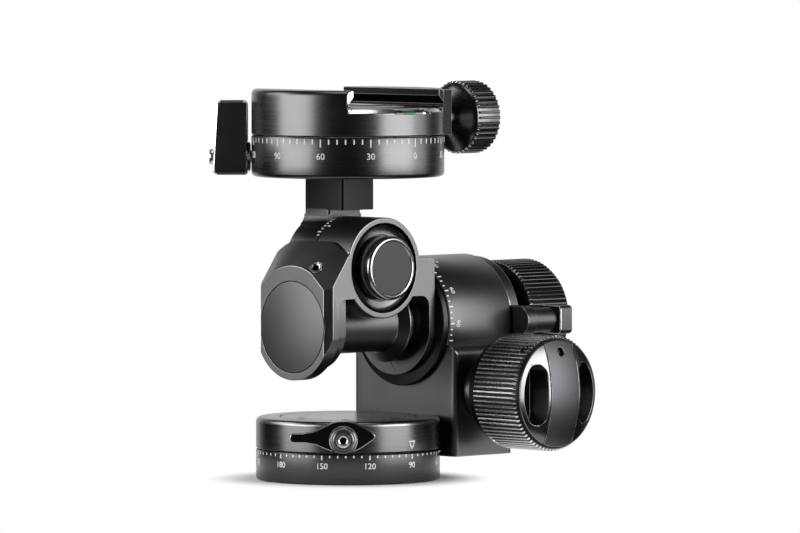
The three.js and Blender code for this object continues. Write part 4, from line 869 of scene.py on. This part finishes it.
YOKE_COVE = [(-8, 10), *arc(-11.2, 17.05, 4, -56.7, 0, 8), *arc(11.2, 17.05, 4, 180, 236.7, 8), (8, 10)]
yoke = turned("yoke_fine", [
    (0, YOKE_LEFT), (15.7, YOKE_LEFT), (YOKE_RADIUS, -12.4), (YOKE_RADIUS, -0.15), (0, -0.15),
], ON_PITCH)
joined(
    yoke,
    extruded("post", rounded(YOKE_LEFT, -1.3, -POST_HALF, POST_HALF, POST_CORNER), 84, 88.1),
    extruded("shelf", rounded(YOKE_LEFT, 5, -POST_HALF, POST_HALF, POST_CORNER), 87.8, 98.4),
    extruded("cove", YOKE_COVE, YOKE_LEFT + 0.05, -1.35, ON_PITCH),
)
cut(
    yoke,
    cylinder(15.1, -5.6, 6, ON_PITCH),
    block("open_bottom", (-5.6, -YOKE_RADIUS, 50), (1, YOKE_RADIUS, PITCH_AXIS - 5.9)),
)
# Zone 1, the post and shelf under the top ring, is near black: painted shade under the ring
zoned(yoke, 1, lambda x, y, z: z > 88)
dressed(yoke, "pitch_head", (PITCH_TURNED, DEEP_BLACK), "black_anodised", "yoke")
scale_marks("pitch_scale", YOKE_RADIUS, YOKE_SCALE, "pitch_head",
            tick_row(range(20, 51, 5), 15, 0.45, -0.3, -1.3, -1.9))
scale_marks("pitch_index", YOKE_RADIUS, YOKE_SCALE, "roll_head", [(35, 0.5, 0.45, 1.7)])


# Upper panning ring and its lever

PLATE_RADIUS = 31.4
PLATE_LOW = 98.7
PLATE_TOP = 112.05
ON_TOP_POST = moved(-4.05)
PADDLE_BACK = 32.6
PADDLE_FACE = 43.8
PADDLE_HALF = 5.2

top_ring = turned("top_ring_fine", [
    (0, PLATE_LOW), (30.0, PLATE_LOW), (30.7, 98.95), (31.2, 99.45), (PLATE_RADIUS, 100.1),
    (PLATE_RADIUS, 111.7), (31.2, PLATE_TOP), (0, PLATE_TOP),
])
cut(
    top_ring,
    cylinder(17, 102.3, 113, UP, FINE),
    turned("groove", [(19.7, 111.65), (28.3, 111.65), (28.3, 113), (19.7, 113)], closed=True),
    cylinder(2.8, 98, 103, ON_TOP_POST, SMALL),
    cylinder(4.7, 100.1, 103, ON_TOP_POST, SMALL),
    cylinder(2.9, 10, 20, ON_TOP_LEVER, SMALL),
    cylinder(2.3, 10, 33, ON_TOP_LEVER, SMALL),
)
dressed(top_ring, "pitch_head", (PAN_TURNED, EDGE_WEAR_AND_HIGHLIGHT), "black_anodised", "top_ring")
scale_marks(
    "top_scale", PLATE_RADIUS, UP, "pitch_head", tick_row(range(0, 360, 5), 30, 0.42, 111.5, 109.9, 109.0),
    [(d, str(min(d, 360 - d)), 105.9) for d in range(0, 360, 30)], 2.9,
)

PADDLE_FRONT_VIEW = [
    (-PADDLE_HALF, 1), (PADDLE_HALF, 1), *arc(2.9, 17.1, 1.3, 0, 90, 8), *arc(-2.9, 17.1, 1.3, 90, 180, 8),
]
PADDLE_SIDE_VIEW = [
    *arc(42.1, 4.1, 1.7, 0, 90, 8), (PADDLE_BACK, 5.8), *arc(34.3, -16.7, 1.7, 180, 270, 8),
    *arc(41.1, -16.9, 1.5, 270, 360, 8),
]
paddle = joined(
    extruded("top_lever_fine", rounded(-PADDLE_HALF, PADDLE_HALF, -5.8, 3.4, 1.4), PADDLE_BACK, PADDLE_FACE,
             ON_TOP_LEVER),
    extruded("taper", PADDLE_FRONT_VIEW, PADDLE_BACK, PADDLE_FACE, ON_TOP_LEVER),
)
common(paddle, extruded("side_view", PADDLE_SIDE_VIEW, -6, 6, ON_TOP_LEVER @ laid((1, 0, 0), (0, 0, 1))))
joined(paddle, cylinder(4.8, 31.7, 32.9, ON_TOP_LEVER, MEDIUM))
cut(paddle, cylinder(2.3, 30, 45, ON_TOP_LEVER, SMALL))
# The paddle's rounded edges are bright steel: painted highlight
dressed(bevelled(paddle, 0.5, 25), "top_lever", (SATIN, STEEL), "black_anodised", "top_lever")
lever_screw("top_lever_screw", 43.95, ON_TOP_LEVER, "top_lever")


# Dovetail clamp: its body, the spirit level, the jaw and the knob

CHANNEL_FLOOR = 121.2
LIP_TOP = 127.2
LIP_END = 22.6
OUTSIDE = 34
ABOVE = 130
JAW_PIN_X = 6
NOTCH_HALF = 7.8
NOTCH_WALL = 25.1
LEVEL_PLAY = 0.3
CHANNEL = [(-19, ABOVE), (-19, 125), (-21.6, 122.4), (-21.6, CHANNEL_FLOOR), (33, CHANNEL_FLOOR), (33, ABOVE)]


def end_block(end, inner, front, back, low, high):
    """A block outside one end of the channel, from inner outwards"""
    near, far = sorted((end * inner, end * OUTSIDE))
    return block("end", (near, front, low), (far, back, high))


def screw_bores(screw, pin, low, high):
    """The bores of the clamp screw and of the two guide pins beside it"""
    bores = [cylinder(screw, low, high, ON_CLAMP_SCREW, SMALL)]
    for x in (JAW_PIN_X, -JAW_PIN_X):
        bores.append(cylinder(pin, low, high, moved(x) @ ON_CLAMP_SCREW, SMALL))
    return bores


clamp = turned("clamp_body_fine", [
    (0, 112.35), (31.15, 112.35), (PLATE_RADIUS, 112.65), (PLATE_RADIUS, 125.5), (31.25, 126.2),
    (30.85, 126.75), (30.2, 127.1), (29.5, LIP_TOP), (0, LIP_TOP),
])
cut(clamp, extruded("channel", CHANNEL, -OUTSIDE, OUTSIDE, ALONG_X))
for end in (1, -1):
    cut(clamp, end_block(end, LIP_END, -OUTSIDE, OUTSIDE, CHANNEL_FLOOR, ABOVE))
    rim = turned("rim", [(29.9, 121.3), (33, 121.3), (33, 118.2), (31.5, 119.7)], closed=True)
    cut(clamp, common(rim, end_block(end, LIP_END + 0.1, -21.5, 17.5, 117, 122)))
joined(clamp, block("pad", (-14, -12, 120.9), (14, 12, 121.7)))
cut(
    clamp,
    cylinder(11.9, 112, 116.65),
    *screw_bores(2.9, 1.9, 12.7, 33),
    block("notch", (NOTCH_WALL, -NOTCH_HALF, 116.7), (29.7, NOTCH_HALF, 123)),
    block("notch", (29.5, -NOTCH_HALF, 119.4), (33, NOTCH_HALF, 123)),
)
# Zone 2, the bright chamfer under the channel's ends and the end face of the fixed lip, is bright steel:
# painted highlight
zoned(clamp, 2, lambda x, y, z: 119.75 < z < 121.15 and 29.8 < math.hypot(x, y) < 31.35 and -21 < y < 17)
zoned(clamp, 2, lambda x, y, z: abs(abs(x) - LIP_END) < 0.05 and z > 121.3 and y < -15)
dressed(bevelled(clamp, 0.2), "clamp", (PAN_TURNED, EDGE_WEAR_AND_HIGHLIGHT, STEEL), "black_anodised", "clamp_body")

cradle_half = NOTCH_HALF - LEVEL_PLAY
cradle = cut(
    block("level_cradle_fine", (NOTCH_WALL + LEVEL_PLAY, -cradle_half, 117.0), (29.4, cradle_half, 119.8)),
    cylinder(1.75, -6.95, 6.95, ON_LEVEL, SMALL),
)
dressed(cradle, "clamp", (PAN_TURNED,), "black_anodised", "level_cradle")
vial = turned("level_vial_fine", [
    (0, -6.8), (1.2, -6.8), (1.6, -6.4), (1.6, -3.2), (1.55, -3.2), (1.55, 2.3), (1.6, 2.3), (1.6, 6.4),
    (1.2, 6.8), (0, 6.8),
], ON_LEVEL, SMALL)
zoned(vial, 1, lambda x, y, z: not -3.3 < y < 2.4)
dressed(vial, "clamp", (LEVEL, DARK_STEEL), "level_fluid", "level_vial")
level_ring = turned("level_ring", [
    (0, 5.6), (1.66, 5.6), (1.72, 5.8), (1.72, 6.6), (1.4, 6.95), (0, 6.95),
], ON_LEVEL, SMALL)
dressed(level_ring, "clamp", (STEEL,), "steel")

JAW = [(18, LIP_TOP), (18, 125), (20.6, 122.4), (20.6, 121.5), (PLATE_RADIUS, 121.5), (PLATE_RADIUS, LIP_TOP)]
jaw = common(
    extruded("clamp_jaw_fine", JAW, -21, 24, ALONG_X),
    turned("rim", [
        (0, 118), (PLATE_RADIUS, 118), (PLATE_RADIUS, 126.2), (31.1, 126.8), (30.5, LIP_TOP), (0, LIP_TOP),
    ]),
)
joined(jaw, block("arm", (-9, 30, 121.5), (9, 38.5, 126.4)), block("foot", (-9, 32, 111.5), (9, 38.5, 122.5)))
cut(jaw, *screw_bores(2.9, 1.75, 10, 40))
dressed(bevelled(jaw, 0.15), "jaw", (DEEP_BLACK, EDGE_WEAR_AND_HIGHLIGHT), "black_anodised", "clamp_jaw")

clamp_grip, clamp_ribs = ribbed("clamp_knob_fine", 11.4, 12, 40, [
    (0, 38.8), (4.3, 38.8), (4.8, 39.4), (5.0, 40.2), (4.8, 41.0), (4.35, 41.4), (4.8, 41.8), (5.0, 42.6),
    (4.7, 43.6), (4.6, 44.0), (5.2, 44.5), (9.6, 46.9), (10.8, 47.7), (11.3, 48.2), (11.4, 48.5),
    (11.4, 58.1), (11.0, 58.7), (10.6, 59), (0, 59),
], 48.5, 58.6, ON_CLAMP_SCREW, 0.6)
dressed(clamp_grip, "jaw_drive", (KNOB, EDGE_HIGHLIGHT), "knob_black", "clamp_knob")
# The ribs' slanted ends are bright steel: painted highlight
dressed(clamp_ribs, "jaw_drive", (FAINT_RIB, STEEL), "knob_black")


# Every CAD node gets the finish of its slot, which shows where no piece stands for it

SLOT_FINISHES = {
    "steel": STEEL, "black_steel": DARK_STEEL, "brass": BRASS, "washer_plastic": WASHER,
    "black_anodised": SATIN, "grey_anodised": COVER, "knob_black": KNOB, "level_fluid": LEVEL,
}
for part in frame["record"]["subparts"]:
    node = frame["nodes"][part["node"]]
    node.data.materials.clear()
    node.data.materials.append(SLOT_FINISHES[part["material_slot"]])


# Where the camera stands: the axis of the base shows at ORIGIN_X and the ground under it at ORIGIN_Y

CAMERA_TURN = 46
CAMERA_RISE = 2.7
CAMERA_FAR = 2600
SENSOR_WIDE = 36
PIXELS_PER_MM = 3.067
PHOTO_WIDE = 800
PHOTO_HIGH = 533
ORIGIN_X = 348
ORIGIN_Y = 478.6
camera_turn, camera_rise = math.radians(CAMERA_TURN), math.radians(CAMERA_RISE)


def seen_from(turn, rise):
    """The direction of a spot at a turn to the right and a rise, both from the front"""
    return Vector((math.sin(turn) * math.cos(rise), -math.cos(turn) * math.cos(rise), math.sin(rise)))


towards = seen_from(camera_turn, camera_rise)
right = Vector((math.cos(camera_turn), math.sin(camera_turn), 0))
upward = towards.cross(right)
aim = (right * (PHOTO_WIDE / 2 - ORIGIN_X) + upward * (ORIGIN_Y - PHOTO_HIGH / 2)) / PIXELS_PER_MM


# The floor is pale, and turns into the white behind it before it ends

FLOOR_RADIUS = 88
FLOOR_PALE = 0.84
WHITE_FROM = 30
WHITE_TO = 48


def rays(start, kind):
    return start.node("LightPath", {}, {}, f"Is {kind} Ray")


def eased(start, value, low, high):
    return start.node("MapRange", {"interpolation_type": "SMOOTHSTEP"}, {0: value, 1: low, 2: high})


floor = turned("floor", [(0, -2), (FLOOR_RADIUS, -2), (FLOOR_RADIUS, -0.05), (0, -0.05)], sides=MEDIUM)
floor_paint = bpy.data.materials.new("floor_white")
floor_paint.use_nodes = True
tree = floor_paint.node_tree
pale = tree.nodes["Principled BSDF"]
pale.inputs["Base Color"].default_value = (FLOOR_PALE, FLOOR_PALE, FLOOR_PALE, 1)
pale.inputs["Roughness"].default_value = 0.9
start = Wire(tree)
spot = start.node("TexCoord", {}, {}, "Object")
away = start.node("VectorMath", {"operation": "LENGTH"}, {0: spot}, "Value")
outer = eased(start, away, WHITE_FROM * MM, WHITE_TO * MM)
seen = rays(start, "Camera") + rays(start, "Glossy") + rays(start, "Transmission")
white = start.node("Emission", {}, {"Color": (1, 1, 1, 1), "Strength": 1.0})
mixed = start.node("MixShader", {}, {0: outer * seen, 1: Wire(tree, pale.outputs["BSDF"]), 2: white})
tree.links.new(mixed.socket, tree.nodes["Material Output"].inputs["Surface"])
floor.data.materials.append(floor_paint)


# The backdrop is white, also in metal that faces it, and the room on the camera's side is dim

BEHIND_FROM = 0.6
BEHIND_FULL = 0.96
ROOM = 0.02

world = bpy.data.worlds.new("studio")
bpy.context.scene.world = world
world.use_nodes = True
start = Wire(world.node_tree)
direction = start.node("TexCoord", {}, {}, "Generated")
facing = start.node("VectorMath", {"operation": "DOT_PRODUCT"}, {0: direction, 1: -towards}, "Value")
behind = eased(start, facing, BEHIND_FROM, BEHIND_FULL)
seen = rays(start, "Camera") + rays(start, "Transmission") + rays(start, "Glossy") * behind
backdrop = world.node_tree.nodes["Background"]
backdrop.inputs["Color"].default_value = (1, 1, 1, 1)
world.node_tree.links.new((seen * (1 - ROOM) + ROOM).socket, backdrop.inputs["Strength"])


# Five lamps round the object, placed from the camera

LAMPS_FAR = 900
LAMPS_AIM = Vector((0, 0, 65))


def placed(thing, place, sight):
    """Links a lamp or a camera into the scene, looking in a direction"""
    holder = bpy.data.objects.new(thing.name, thing)
    bpy.context.scene.collection.objects.link(holder)
    holder.location = place * MM
    holder.rotation_mode = "QUATERNION"
    holder.rotation_quaternion = sight.to_track_quat("-Z", "Y")
    return holder


def softbox(name, degrees, height, wide, high, power):
    """A lamp at an angle to the right of the camera and at an angle over the ground, facing the object"""
    to_lamp = seen_from(camera_turn + math.radians(degrees), math.radians(height))
    lamp = bpy.data.lights.new(name, "AREA")
    lamp.shape, lamp.size, lamp.size_y, lamp.energy = "RECTANGLE", wide * MM, high * MM, power
    placed(lamp, LAMPS_AIM + LAMPS_FAR * to_lamp, -to_lamp)


softbox("left_softbox", -65, 8, 750, 600, 8.3)
softbox("high_left", -98, 30, 420, 560, 2.8)
softbox("right_softbox", 61, 9, 700, 640, 10)
softbox("right_side", 92, 8, 420, 560, 2)
softbox("overhead", 0, 84, 460, 460, 2)


# Camera

camera = bpy.data.cameras.new("camera")
camera.sensor_width = SENSOR_WIDE
camera.lens = PIXELS_PER_MM * CAMERA_FAR * SENSOR_WIDE / PHOTO_WIDE
camera.clip_start, camera.clip_end = 0.1, 20
bpy.context.scene.camera = placed(camera, aim + towards * CAMERA_FAR, -towards)
bpy.context.scene.view_settings.view_transform = "Standard"
